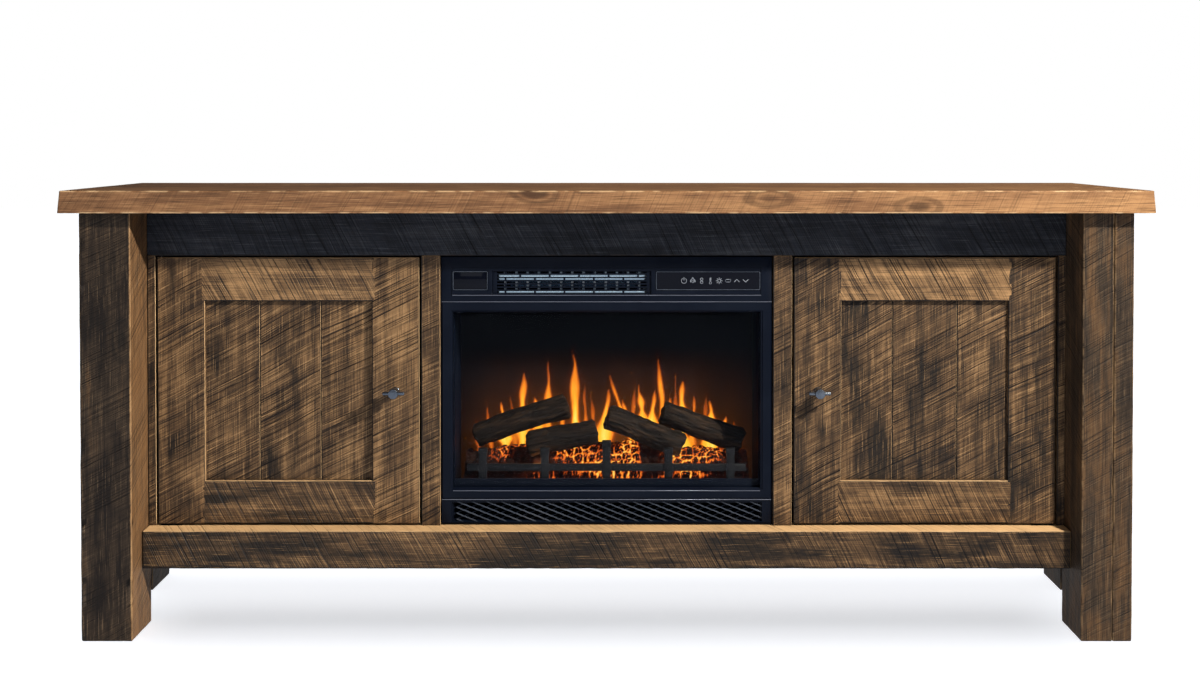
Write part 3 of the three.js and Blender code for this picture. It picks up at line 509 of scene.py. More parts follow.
def board(low, high, run, across, seed, tone=0.5, **changes):
    cutting = {**boardCut, **changes}
    low, high = np.array(low, float), np.array(high, float)
    sign = -1 if run[0] == "-" else 1
    runAxis, crossAxis = axisIndex[run[-1]], axisIndex[across]
    deepAxis = 3 - runAxis - crossAxis
    size = high - low
    middle = (low + high) / 2
    length, width, thick = size[runAxis], size[crossAxis], size[deepAxis]
    arris = min(cutting["arris"], thick * 0.2)
    band = min(cutting["band"], thick * 0.3)
    spots, swell, normals, wornAndLit = boardSection(width, thick, arris, band, cutting["cross"])
    ring = len(spots)
    count = max(2, int(round(length / cutting["step"])))
    inner = np.linspace(band, length - band, count + 1)
    ending = np.array([0, arris * 0.3, arris])
    stations = np.concatenate([ending, inner, length - ending[::-1]])
    insets = np.concatenate([ending[::-1], np.zeros(len(inner)), ending])
    total = len(stations)
    along = np.repeat(stations, ring)
    sectionSpots = np.tile(spots, (total, 1))
    outward = np.tile(normals, (total, 1))
    wornAll = np.tile(wornAndLit, total)
    # each board is cut from its own place in the timber
    spot = [[seed * 7.31, 1.7, 2.9], [seed * 3.17, 5.1, 0.3], [seed * 1.93, 9.7, 4.2]]
    offset = softNoise(spot, seed) * 4.0
    # uneven arrises with chips, then the dips of the saw
    radius = arris * (0.7 + 0.6 * softNoise(np.c_[along * 40, sectionSpots * 25 + 3], seed))
    chipNoise = softNoise(np.c_[along * 75, sectionSpots * 30 + 9], seed + 5)
    chips = wornAll * np.clip(chipNoise - 0.72, 0, 1) * (cutting["chip"] / 0.28)
    section = sectionSpots + np.tile(swell, (total, 1)) * radius[:, None]
    dips = softNoise(np.c_[along * 14, section * 45 + 1], seed + 2) * 0.6
    slanted = along * math.cos(sawAngle) - (section[:, 0] + section[:, 1]) * math.sin(sawAngle)
    dips += softNoise(np.c_[slanted * 75, section[:, 0] * 6, section[:, 1] * 3], seed + 3) * 0.4
    depthCut = dips * cutting["wave"] + chips + np.repeat(insets, ring)
    section = section - outward * depthCut[:, None]
    points = np.zeros((total * ring, 3))
    points[:, runAxis] = middle[runAxis] + sign * (along - length / 2)
    points[:, crossAxis] = middle[crossAxis] + section[:, 0]
    points[:, deepAxis] = middle[deepAxis] + section[:, 1]
    grain = np.c_[along, section[:, 0], section[:, 1]] + offset
    wornAll = np.maximum(wornAll, np.repeat(insets > 0, ring) * 1.0)
    cutAll = np.zeros(total * ring)
    # an inner ring on each end carries the end grain
    for station in (0, total - 1):
        rim = slice(station * ring, station * ring + ring)
        shrink = section[rim] - normals * 0.0015
        cap = points[rim].copy()
        cap[:, crossAxis] = middle[crossAxis] + shrink[:, 0]
        cap[:, deepAxis] = middle[deepAxis] + shrink[:, 1]
        points = np.vstack([points, cap])
        grain = np.vstack([grain, np.c_[along[rim], shrink[:, 0], shrink[:, 1]] + offset])
        wornAll = np.concatenate([wornAll, np.zeros(ring)])
        cutAll = np.concatenate([cutAll, np.ones(ring)])
    faces = boardFaces(ring, total)
    basis = np.zeros((3, 3))
    basis[0, crossAxis], basis[1, deepAxis], basis[2, runAxis] = 1, 1, sign
    if np.linalg.det(basis) < 0:
        faces = [face[::-1] for face in faces]
    return {"points": points, "faces": faces, "grain": grain, "wear": wornAll, "cut": cutAll,
            "tone": np.full(len(points), tone)}


def addPiece(name, mesh, body, replaced=()):
    piece = bpy.data.objects.new(name, mesh)
    bpy.context.scene.collection.objects.link(piece)
    litPieces.objects.link(piece)
    if name.startswith("bottom_rail"):
        lowRails.objects.link(piece)
    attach(piece, body)
    if replaced:
        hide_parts(*replaced)
    return piece


def store(mesh, label, values):
    # one value or one vector for each vertex
    values = np.asarray(values)
    kind, field = ("FLOAT_VECTOR", "vector") if values.ndim == 2 else ("FLOAT", "value")
    mesh.attributes.new(label, kind, "POINT").data.foreach_set(field, values.ravel())


def boardsPiece(name, boards, material, node, body="cabinet", change=None):
    mesh = bpy.data.meshes.new(name)
    points = np.vstack([b["points"] for b in boards])
    if change:
        points = change(points)
    faces, start = [], 0
    for b in boards:
        faces += [[start + v for v in face] for face in b["faces"]]
        start += len(b["points"])
    mesh.from_pydata(points.tolist(), [], faces)
    mesh.polygons.foreach_set("use_smooth", [len(face) == 4 for face in faces])
    for label in ("grain", "wear", "cut", "tone"):
        store(mesh, label, np.concatenate([b[label] for b in boards]))
    mesh.materials.append(timbers[material])
    return addPiece(name, mesh, body, [node])


def corners(name):
    low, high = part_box(name)
    return np.array(low), np.array(high)


def simpleBoard(node, run, across, material, seed, tone=0.5, body="cabinet", **changes):
    low, high = corners(node)
    made = board(low, high, run, across, seed, tone, **changes)
    return boardsPiece(node + "_sawn", [made], material, node, body)


def splitBoards(low, high, axis, shares):
    # cuts a box into boards side by side at the given shares of its width
    axis = axisIndex[axis]
    edges = [0.0, *shares, 1.0]
    parts = []
    for start, end in zip(edges, edges[1:]):
        a, b = low.copy(), high.copy()
        a[axis] = low[axis] + (high[axis] - low[axis]) * start
        b[axis] = low[axis] + (high[axis] - low[axis]) * end
        parts.append((a, b))
    return parts


def boardRow(node, run, across, shares, seeds, tones, **changes):
    # the boards that make up one CAD node, side by side
    low, high = corners(node)
    return [board(a, b, run, across, seed, tone, **changes)
            for (a, b), seed, tone in zip(splitBoards(low, high, across, shares), seeds, tones)]


def shiftTone(piece, rule):
    mesh = piece.data
    points, tone = np.zeros(len(mesh.vertices) * 3), np.zeros(len(mesh.vertices))
    mesh.vertices.foreach_get("co", points)
    mesh.attributes["tone"].data.foreach_get("value", tone)
    mesh.attributes["tone"].data.foreach_set("value", rule(points.reshape(-1, 3), tone))


topLook = {
    "seams": [0.36, 0.68], "tones": [0.60, 0.5, 0.56],
    "taper": 0.004,         # how much shorter each end is at the upper face
    "drift": 0.11,          # paler towards the right end
    "arris": 0.0015, "wave": 0.0003, "chip": 0.0003,
}


def makeTop():
    low, high = corners("top")
    rise = high[2] - low[2]
    half = high[0]

    def taper(points):
        share = np.clip((points[:, 2] - low[2]) / rise, 0, 1)
        points[:, 0] *= 1 - topLook["taper"] / half * share
        return points

    planks = boardRow("top", "x", "y", topLook["seams"], range(11, 14), topLook["tones"],
                      arris=topLook["arris"], wave=topLook["wave"], chip=topLook["chip"])
    piece = boardsPiece("top_planks", planks, "topTimber", "top", change=taper)
    shiftTone(piece, lambda points, tone: tone + topLook["drift"] * points[:, 0] / half)


legLook = {
    "tones": {"left": 0.34, "right": 0.58},
    "seams": {"left": [], "right": [0.615]},
    "secondBoard": -0.04,   # the right leg's second board is darker
    "paintedLitSideTone": 0.98,      # the left leg's inner side faces the key and is painted paler: a painted highlight
    "arris": 0.0026, "chip": 0.002, "wave": 0.0008,
}


def makeLegs():
    for side, seed in (("left", 21), ("right", 31)):
        node, tone = "leg_front_" + side, legLook["tones"][side]
        parts = boardRow(node, "z", "x", legLook["seams"][side], (seed, seed + 1),
                         (tone, tone + legLook["secondBoard"]),
                         arris=legLook["arris"], chip=legLook["chip"], wave=legLook["wave"])
        post = boardsPiece("post_" + side, parts, "legTimber", node)
        if side == "left":
            # the left leg's inner side takes the painted highlight tone
            inner = corners(node)[1][0] - 0.003
            shiftTone(post, lambda points, tone: np.where(points[:, 0] > inner, legLook["paintedLitSideTone"], tone))
        simpleBoard("leg_back_" + side, "z", "y", "legTimber", seed + 5, tone)


carcassLook = {
    "apronTone": 0.5, "railTone": 0.34, "backTone": 0.45,
    "litTopTone": 2.2,        # the lower rail's upper face, painted pale as a highlight where the key falls on it
    "litTopDepth": 0.0024,
    "railArris": 0.0022, "sideArris": 0.0025,
    "sideTones": (0.48, 0.40),
    "frame": [("outer_stile", "z", "x", 51, 0.45), ("inner_stile", "z", "x", 53, 0.44),
              ("side_rail", "y", "z", 55, 0.40)],
}


def makeCarcass():
    # the apron takes the timber with painted shade
    simpleBoard("apron", "-x", "z", "darkTimber", 41, carcassLook["apronTone"])
    rail = simpleBoard("bottom_rail", "-x", "z", "brownTimber", 42, carcassLook["railTone"],
                       arris=carcassLook["railArris"])
    # the lower rail's upper face gets a painted highlight tone
    crest = corners("bottom_rail")[1][2] - carcassLook["litTopDepth"]
    shiftTone(rail, lambda points, tone: np.where(points[:, 2] > crest, carcassLook["litTopTone"], tone))
    for i, side in enumerate(("left", "right")):
        for name, run, across, seed, tone in carcassLook["frame"]:
            simpleBoard(name + "_" + side, run, across, "brownTimber", seed + i, tone)
        for name, run, seed in (("partition", "z", 57), ("shelf", "x", 59)):
            simpleBoard(name + "_" + side, run, "y", "plainBoard", seed + i, step=0.03, cross=0.03)
        node, seed = "side_panel_" + side, 61 + 3 * i
        parts = boardRow(node, "z", "y", [0.5], (seed, seed + 1), carcassLook["sideTones"],
                         arris=carcassLook["sideArris"])
        boardsPiece("side_boards_" + side, parts, "brownTimber", node)
    for name, seed in (("back_rail_top", 71), ("back_rail_bottom", 72)):
        simpleBoard(name, "-x", "z", "legTimber", seed, carcassLook["backTone"], step=0.02)
    parts = boardRow("cabinet_floor", "x", "y", [0.5], (73, 74), (0.5, 0.5), step=0.03, cross=0.02)
    boardsPiece("floor_boards", parts, "plainBoard", "cabinet_floor")


doorLook = {
    "frame": [("hinge_stile", "z", "x"), ("lock_stile", "z", "x"),
              ("top_rail", "-x", "z"), ("bottom_rail", "-x", "z")],
    "frameTones": {"left": [0.50, 0.61, 0.70, 0.38], "right": [0.42, 0.36, 0.78, 0.51]},
    "railArris": 0.0022,
    "panelTones": {"left": [0.50, 0.46, 0.48], "right": [0.43, 0.40, 0.45]},
    "panelSeams": {"left": [0.33, 0.68], "right": [0.32, 0.69]},
}


def makeDoors():
    for side, seed in (("left", 81), ("right", 91)):
        body = "door_" + side
        for k, (name, run, across) in enumerate(doorLook["frame"]):
            arris = doorLook["railArris"] if run == "-x" else boardCut["arris"]
            simpleBoard("door_" + name + "_" + side, run, across, "brownTimber", seed + k,
                        doorLook["frameTones"][side][k], body, arris=arris)
        node = "door_panel_" + side
        parts = boardRow(node, "z", "x", doorLook["panelSeams"][side], range(seed + 4, seed + 7),
                         doorLook["panelTones"][side])
        boardsPiece("door_boards_" + side, parts, "brownTimber", node, body)


makeTop()
makeLegs()
makeCarcass()
makeDoors()
print("timber boards sawn")

# metal, glass, resin and plastic finishes

metalFinishes = {
    "blackCoat": {
        "colour": (0.0026, 0.0046, 0.0112), "dust": (0.0056, 0.0088, 0.0180),
        "metal": 0.0, "rough": 0.36, "grain": 900.0, "relief": 0.25, "shine": 0.08,
    },
    "darkIron": {
        "colour": (0.10, 0.12, 0.155), "dust": (0.26, 0.29, 0.34),
        "metal": 0.9, "rough": 0.24, "grain": 500.0, "relief": 0.15,
    },
    "castIron": {
        "colour": (0.0035, 0.0042, 0.0062), "dust": (0.011, 0.012, 0.015),
        "metal": 0.1, "rough": 0.50, "grain": 420.0, "relief": 0.6, "shine": 0.25,
    },
    "plainSteel": {
        "colour": (0.36, 0.38, 0.41), "dust": (0.22, 0.22, 0.23),
        "metal": 0.95, "rough": 0.36, "grain": 700.0, "relief": 0.12,
    },
    "brightSteel": {
        "colour": (0.62, 0.74, 0.86), "dust": (0.40, 0.50, 0.62),
        "metal": 0.95, "rough": 0.20, "grain": 300.0, "relief": 0.08,
    },
    # steel that glows: a painted reflection of the key on the rods behind the outlet, which sit in shade
    "litSteel": {
        "colour": (0.50, 0.66, 0.80), "dust": (0.30, 0.42, 0.55),
        "metal": 0.6, "rough": 0.28, "grain": 300.0, "relief": 0.08, "glow": 0.34,
    },
    # pale metal for the painted glint lines along the bezel
    "glintSteel": {
        "colour": (0.17, 0.19, 0.25), "dust": (0.06, 0.07, 0.10),
        "metal": 0.5, "rough": 0.32, "grain": 300.0, "relief": 0.08,
    },
    # a paler, shinier copy of the black coat for the strands that face the light: a painted highlight
    "litStrandCoat": {
        "colour": (0.040, 0.052, 0.078), "dust": (0.085, 0.10, 0.135),
        "metal": 0.2, "rough": 0.32, "grain": 700.0, "relief": 0.1, "shine": 0.4,
    },
    "mirrorFoil": {
        "colour": (0.80, 0.80, 0.78), "dust": (0.60, 0.60, 0.58),
        "metal": 1.0, "rough": 0.10, "grain": 150.0, "relief": 0.5,
    },
    "blackNylon": {
        "colour": (0.013, 0.013, 0.014), "dust": (0.035, 0.035, 0.037),
        "metal": 0.0, "rough": 0.5, "grain": 1200.0, "relief": 0.3,
    },
    "circuitBoard": {
        "colour": (0.012, 0.075, 0.030), "dust": (0.045, 0.15, 0.06),
        "metal": 0.0, "rough": 0.38, "grain": 260.0, "relief": 0.5,
    },
}


def metal(name):
    look = metalFinishes[name]
    finish = Finish(name)
    place = finish.place()
    cloud = finish.noise(place, 14.0, 4.0, 0.6)
    grain = finish.noise(place, look["grain"], 2.0, 0.5)
    scuffs = finish.noise(place * (30.0, 30.0, 420.0), 1.0, 2.0)
    marks = finish.spread(cloud, 0.42, 0.72) * 0.55 + finish.spread(scuffs, 0.66, 0.80) * 0.25
    colour = finish.blend(marks, look["colour"], look["dust"])
    return finish.surface({
        "Base Color": colour,
        "Emission Color": colour,
        "Emission Strength": look.get("glow", 0.0),
        "Metallic": look["metal"],
        "Roughness": look["rough"] + (cloud - 0.5) * 0.22 + (grain - 0.5) * 0.10,
        "Specular IOR Level": look.get("shine", 0.5),
        "Normal": finish.bump(grain + scuffs * 0.2, look["relief"], 0.0004),
    })


def gloss():
    finish = Finish("blackGloss")
    place = finish.place()
    dust = finish.spread(finish.noise(place, 1800.0, 1.0), 0.70, 0.78)
    smear = finish.noise(place * (8.0, 8.0, 30.0), 1.0, 3.0)
    return finish.surface({
        "Base Color": finish.blend(dust * 0.25, (0.0022, 0.0030, 0.0070), (0.03, 0.035, 0.045)),
        "Roughness": 0.07 + finish.spread(smear, 0.45, 0.75) * 0.10,
        "Specular IOR Level": 0.10,
        "Coat Weight": 0.03,
    })


def glass():
    finish = Finish("clearGlass")
    place = finish.place()
    smear = finish.noise(place * (5.0, 5.0, 14.0), 1.0, 4.0, 0.6)
    film = finish.spread(smear, 0.45, 0.80)
    return finish.surface({
        "Base Color": (0.010, 0.014, 0.022),
        "Roughness": 0.04 + film * 0.06,
        "Specular IOR Level": 0.2,
        "Alpha": 0.05 + film * 0.02,
    })


def plywood():
    look = sawnTimbers["plainBoard"]
    finish = Finish("plainBack")
    x, y, z = finish.split(finish.place())
    fibre = finish.noise(finish.join(x * 9.0, y * 300.0, z * 420.0), 1.0, 3.0, 0.6)
    cathedral = finish.noise(finish.join(x * 1.3, y * 3.0, z * 14.0), 1.0, 3.0, 0.5, 1.2)
    drift = finish.noise(finish.join(x * 2.0, 0.0, z * 30.0), 1.0)
    bands = finish.spread(abs(cathedral * 9.0 - 4.5 - drift * 2.0), 0.0, 1.6)
    colour = finish.blend(bands * 0.6, look["light"], look["mid"])
    colour = finish.blend(finish.spread(fibre, 0.55, 0.35) * 0.5, colour, look["dark"])
    return finish.surface({"Base Color": colour, "Roughness": 0.62 + (fibre - 0.5) * 0.2,
                           "Normal": finish.bump(fibre, 0.3, 0.0006)})


def bark():
    finish = Finish("logBark")
    along, around, _ = finish.split(finish.attribute("grain", "Vector"))
    cut = finish.attribute("cut")
    ridge = finish.attribute("ridge")
    flow = finish.noise(finish.join(along * 22.0, around * 60.0, 0.0), 1.0, 3.0, 0.6, 0.6)
    fibre = finish.noise(finish.join(along * 45.0, around * 700.0, 0.0), 1.0, 3.0, 0.6)
    seams = finish.noise(finish.join(along * 14.0, around * 150.0, 3.0), 1.0, 2.0, 0.5, 0.5)
    fissure = finish.spread(abs(seams - 0.5), 0.0, 0.05, 1.0, 0.0)
    colour = finish.ramp(flow * 0.45 + ridge * 0.55,
                         [(0.20, (0.0022, 0.0018, 0.0018)), (0.48, (0.011, 0.0072, 0.0052)),
                          (0.70, (0.040, 0.023, 0.013)), (0.95, (0.13, 0.072, 0.036))])
    colour = finish.blend(finish.spread(fibre, 0.60, 0.80) * 0.30, colour, (0.085, 0.050, 0.028))
    colour = finish.blend(fissure * 0.85, colour, (0.003, 0.0025, 0.002))
    colour = finish.blend(cut * 0.7, colour, (0.014, 0.010, 0.008))
    return finish.surface({"Base Color": colour, "Roughness": 0.72 + (fibre - 0.5) * 0.2,
                           "Specular IOR Level": 0.15,
                           "Normal": finish.bump(fibre * 0.5 + flow * 0.5 - fissure, 0.9, 0.0012)})


def embers():
    finish = Finish("emberResin")
    glow = finish.attribute("glow")
    place = finish.place()
    grit = finish.noise(place, 420.0, 3.0, 0.6)
    cloud = finish.noise(place, 38.0, 3.0, 0.6)
    colour = finish.ramp(cloud, [(0.3, (0.003, 0.002, 0.0018)), (0.55, (0.014, 0.0055, 0.0036)),
                                 (0.8, (0.046, 0.016, 0.008))])
    heat = glow * (0.55 + cloud * 0.9) * (0.75 + grit * 0.5)
    light = finish.ramp(heat, [(0.0, (0.0, 0.0, 0.0)), (0.20, (0.03, 0.004, 0.001)),
                               (0.38, (0.62, 0.085, 0.008)), (0.66, (1.0, 0.30, 0.02)),
                               (0.95, (1.0, 0.66, 0.12))])
    return finish.surface({"Base Color": colour, "Roughness": 0.85, "Specular IOR Level": 0.1,
                           "Emission Color": light, "Emission Strength": 1.15,
                           "Normal": finish.bump(grit, 0.8, 0.0012)})


def screenFilm():
    finish = Finish("screenFilm")
    heat = finish.attribute("burn")
    haze = finish.attribute("haze")
    x, y, z = finish.split(finish.place())
    lick = finish.noise(finish.join(x * 190.0, 0.0, z * 38.0), 1.0, 3.0, 0.6, 0.8)
    vein = finish.noise(finish.join(x * 75.0, 4.0, z * 16.0), 1.0, 2.0, 0.5, 0.6)
    level = heat * (0.72 + lick * 0.38 + (vein - 0.5) * 0.5)
    light = finish.ramp(level, [(0.0, (0.0, 0.0, 0.0)), (0.12, (0.035, 0.006, 0.0008)),
                                (0.30, (0.36, 0.058, 0.004)), (0.52, (0.92, 0.25, 0.012)),
                                (0.76, (1.0, 0.52, 0.035)), (1.0, (1.0, 0.78, 0.16))])
    smoke = finish.noise(finish.join(x * 22.0, 2.0, z * 9.0), 1.0, 3.0, 0.6, 0.6)
    glowing = finish.blend(haze * (0.35 + smoke), (0.0, 0.0, 0.0), (0.098, 0.027, 0.0020))
    # a few sparks over the flames
    fromSpark, chances = finish.cells(finish.join(x * 62.0, 0.0, z * 62.0))
    sparks = finish.spread(fromSpark, 0.12, 0.04) * finish.spread(chances[1], 0.80, 0.86)
    sparks = sparks * finish.spread(haze, 0.08, 0.4)
    total = finish.blend(1.0, light, glowing, "ADD")
    total = finish.blend(sparks * 0.7, total, (0.95, 0.30, 0.03))
    tint = finish.spread(finish.noise(finish.join(x * 4.0, 0.0, z * 5.0), 1.0, 2.0), 0.3, 0.8)
    base = finish.blend(tint, (0.0012, 0.0016, 0.0028), (0.0022, 0.0026, 0.0042))
    return finish.surface({"Base Color": base, "Roughness": 0.42, "Specular IOR Level": 0.02,
                           "Emission Color": total, "Emission Strength": 1.25})


def icons():
    finish = Finish("panelIcons")
    place = finish.place()
    speck = finish.noise(place, 900.0, 2.0)
    colour = finish.blend(speck, (0.20, 0.23, 0.29), (0.34, 0.38, 0.45))
    return finish.surface({"Base Color": colour, "Roughness": 0.5,
                           "Emission Color": colour, "Emission Strength": 0.12})


metals = {name: metal(name) for name in metalFinishes}
metals.update(blackGloss=gloss(), clearGlass=glass(), plainBack=plywood(), logBark=bark(),
              emberResin=embers(), screenFilm=screenFilm(), panelIcons=icons())
nodeFinishes = {
    "blackCoat": ["insert_housing"],
    "blackGloss": ["touch_panel"],
    "clearGlass": ["front_glass"],
    "plainBack": ["back_panel"],
    "castIron": ["pivot_top_left", "pivot_bottom_left", "pivot_top_right", "pivot_bottom_right"],
    "plainSteel": ["spinner_motor", "blower_motor", "heating_element"],
    "brightSteel": ["blower_wheel"],
    "mirrorFoil": ["flame_spinner"],
    "circuitBoard": ["control_board", "led_strip"],
    "blackNylon": ["power_inlet"],
}
for name, kept in nodeFinishes.items():
    for node in kept:
        nodes[node].data.materials.clear()
        nodes[node].data.materials.append(metals[name])
print("metal, glass and fire finishes mixed")


def finishPiece(name, bm, material, body, replaced=(), smooth=True):
    mesh = bpy.data.meshes.new(name)
    bmesh.ops.recalc_face_normals(bm, faces=bm.faces)
    bm.to_mesh(mesh)
    bm.free()
    mesh.materials.append(material)
    if smooth:
        mesh.polygons.foreach_set("use_smooth", [True] * len(mesh.polygons))
        mesh.set_sharp_from_angle(angle=math.radians(38))
    return addPiece(name, mesh, body, replaced)


def edgesOf(verts):
    # each edge once, always in the same order
    return list(dict.fromkeys(e for v in verts for e in v.link_edges))


def addBlock(bm, low, high, bevel=0.0006, segments=2):
    low, high = Vector(low), Vector(high)
    made = bmesh.ops.create_cube(bm, size=1.0)["verts"]
    size, middle = high - low, (high + low) / 2
    for v in made:
        v.co = Vector(v.co[i] * size[i] + middle[i] for i in range(3))
    bmesh.ops.bevel(bm, geom=edgesOf(made), offset=min(bevel, min(size) * 0.3), segments=segments,
                    affect="EDGES", profile=0.5)


def addTurned(bm, profile, centre, axis, steps=32):
    # a closed turned shape: profile is a list of (radius, distance along the axis), from end to end
    centre = Vector(centre)
    turn = {"x": Matrix.Rotation(math.radians(90), 3, "Y"), "y": Matrix.Rotation(math.radians(90), 3, "X"),
            "z": Matrix.Identity(3)}[axis]
    rings = []
    for radius, along in profile:
        angles = [2 * math.pi * k / steps for k in range(steps)]
        spots = [Vector((radius * math.cos(a), radius * math.sin(a), along)) for a in angles]
        rings.append([bm.verts.new(centre + turn @ spot) for spot in spots])
    for first, second in zip(rings, rings[1:]):
        for k in range(steps):
            bm.faces.new((first[k], first[(k + 1) % steps], second[(k + 1) % steps], second[k]))
    bm.faces.new(rings[0][::-1])
    bm.faces.new(rings[-1])


def addRing(bm, low, high, section, rounding=0.0, steps=6):
    # a closed frame round the rectangle low-high in X and Z; section is a list of (inset, y)
    path = []
    for sx, sz, start in ((1, 1, 0), (-1, 1, 90), (-1, -1, 180), (1, -1, 270)):
        corner = Vector((high[0] if sx > 0 else low[0], 0, high[1] if sz > 0 else low[1]))
        if rounding:
            centre = corner - Vector((sx * rounding, 0, sz * rounding))
            for k in range(steps + 1):
                angle = math.radians(start + 90 * k / steps)
                ray = Vector((math.cos(angle), 0, math.sin(angle)))
                path.append((centre + ray * rounding, -ray))
        else:
            path.append((corner, Vector((-sx, 0, -sz))))
    rows = [[bm.verts.new(spot + inward * inset + Vector((0, y, 0))) for inset, y in section]
            for spot, inward in path]
    count = len(section)
    for first, second in zip(rows, rows[1:] + rows[:1]):
        for k in range(count):
            bm.faces.new((first[k], first[(k + 1) % count], second[(k + 1) % count], second[k]))


def softened(node, name, material, body, width):
    # a copy of a CAD piece with its sharp edges broken
    bm = bmesh.new()
    bm.from_mesh(nodes[node].data)
    bmesh.ops.remove_doubles(bm, verts=bm.verts, dist=0.00001)
    bmesh.ops.dissolve_degenerate(bm, edges=bm.edges, dist=0.00001)
    sharp = [e for e in bm.edges if len(e.link_faces) == 2 and e.calc_face_angle(0) > math.radians(35)]
    bmesh.ops.bevel(bm, geom=sharp, offset=width, segments=2, affect="EDGES", profile=0.5, clamp_overlap=True)
    return finishPiece(name, bm, material, body, [node])


# what both trees share: their inputs, sums, and the end that makes one painted mesh


def openTree(name, sockets):
    tree = bpy.data.node_groups.new(name, "GeometryNodeTree")
    for label, kind in sockets:
        tree.interface.new_socket(label, in_out="INPUT", socket_type="NodeSocket" + kind)
    tree.interface.new_socket("Geometry", in_out="OUTPUT", socket_type="NodeSocketGeometry")
    return tree, tree.nodes.new, tree.links.new, tree.nodes.new("NodeGroupInput").outputs


def closeTree(tree, geometry, given):
    real = tree.nodes.new("GeometryNodeRealizeInstances")
    painted = tree.nodes.new("GeometryNodeSetMaterial")
    tree.links.new(geometry, real.inputs[0])
    tree.links.new(real.outputs[0], painted.inputs["Geometry"])
    tree.links.new(given["Finish"], painted.inputs["Material"])
    tree.links.new(painted.outputs[0], tree.nodes.new("NodeGroupOutput").inputs[0])
    return tree


def treeSum(tree, operation, first, second):
    node = tree.nodes.new("ShaderNodeMath")
    node.operation = operation
    tree.links.new(first, node.inputs[0])
    if isinstance(second, float):
        node.inputs[1].default_value = second
    else:
        tree.links.new(second, node.inputs[1])
    return node.outputs[0]


def treeVector(tree, **parts):
    node = tree.nodes.new("ShaderNodeCombineXYZ")
    for axis, socket in parts.items():
        tree.links.new(socket, node.inputs[axis])
    return node.outputs[0]


# one tree lays bars in rows: the outlet's bars and webs, and the strands of the intake's mesh


def barRows():
    tree, new, link, given = openTree("barRows", (
        ("Columns", "Int"), ("Rows", "Int"), ("Column Pitch", "Float"), ("Row Pitch", "Float"),
        ("Stagger", "Float"), ("Start", "Vector"), ("Bar Size", "Vector"), ("Bar Turn", "Float"),
        ("Finish", "Material")))
    bar = new("GeometryNodeMeshCube")
    link(given["Bar Size"], bar.inputs["Size"])
    turned = new("GeometryNodeTransform")
    link(bar.outputs["Mesh"], turned.inputs["Geometry"])
    link(treeVector(tree, Y=given["Bar Turn"]), turned.inputs["Rotation"])

    def line(count, offset):
        made = new("GeometryNodeMeshLine")
        link(given[count], made.inputs["Count"])
        link(offset, made.inputs["Offset"])
        return made.outputs["Mesh"]

    row = new("GeometryNodeInstanceOnPoints")
    link(line("Columns", treeVector(tree, X=given["Column Pitch"])), row.inputs["Points"])
    link(turned.outputs[0], row.inputs["Instance"])
    # every second row stands aside
    odd = treeSum(tree, "MODULO", new("GeometryNodeInputIndex").outputs[0], 2.0)
    moved = new("GeometryNodeSetPosition")
    link(line("Rows", treeVector(tree, Z=given["Row Pitch"])), moved.inputs["Geometry"])
    link(treeVector(tree, X=treeSum(tree, "MULTIPLY", odd, given["Stagger"])), moved.inputs["Offset"])
    rows = new("GeometryNodeInstanceOnPoints")
    link(moved.outputs[0], rows.inputs["Points"])
    link(row.outputs[0], rows.inputs["Instance"])
    placed = new("GeometryNodeTransform")
    link(rows.outputs[0], placed.inputs["Geometry"])
    link(given["Start"], placed.inputs["Translation"])
    return closeTree(tree, placed.outputs[0], given)


# another sets screw heads on points: a flat-topped cone with a cross cut in it


def screwHeads():
    tree, new, link, given = openTree("screwHeads", (
        ("Geometry", "Geometry"), ("Radius", "Float"), ("Height", "Float"), ("Turn", "Vector"),
        ("Seed", "Int"), ("Finish", "Material")))
    head = new("GeometryNodeMeshCone")
    head.inputs["Vertices"].default_value = 14
    link(treeSum(tree, "MULTIPLY", given["Radius"], 0.62), head.inputs["Radius Top"])
    link(given["Radius"], head.inputs["Radius Bottom"])
    link(given["Height"], head.inputs["Depth"])
    cuts = new("GeometryNodeJoinGeometry")
    thin = treeSum(tree, "MULTIPLY", given["Radius"], 0.24)
    for x, y in ((given["Radius"], thin), (thin, given["Radius"])):
        slot = new("GeometryNodeMeshCube")
        link(treeVector(tree, X=x, Y=y, Z=given["Height"]), slot.inputs["Size"])
        lifted = new("GeometryNodeTransform")
        link(slot.outputs["Mesh"], lifted.inputs["Geometry"])
        link(treeVector(tree, Z=given["Height"]), lifted.inputs["Translation"])
        link(lifted.outputs[0], cuts.inputs[0])
    carved = new("GeometryNodeMeshBoolean")
    carved.operation = "DIFFERENCE"
    link(head.outputs["Mesh"], carved.inputs["Mesh 1"])
    link(cuts.outputs[0], carved.inputs["Mesh 2"])
    spin = new("FunctionNodeRandomValue")
    spin.data_type = "FLOAT_VECTOR"
    spin.inputs["Max"].default_value = (0, 0, 3.0)
    link(given["Seed"], spin.inputs["Seed"])
    heads = new("GeometryNodeInstanceOnPoints")
    link(given["Geometry"], heads.inputs["Points"])
    link(carved.outputs["Mesh"], heads.inputs["Instance"])
    link(given["Turn"], heads.inputs["Rotation"])
    spun = new("GeometryNodeRotateInstances")
    spun.inputs["Local Space"].default_value = True
    link(heads.outputs[0], spun.inputs["Instances"])
    link(spin.outputs[0], spun.inputs["Rotation"])
    return closeTree(tree, spun.outputs[0], given)


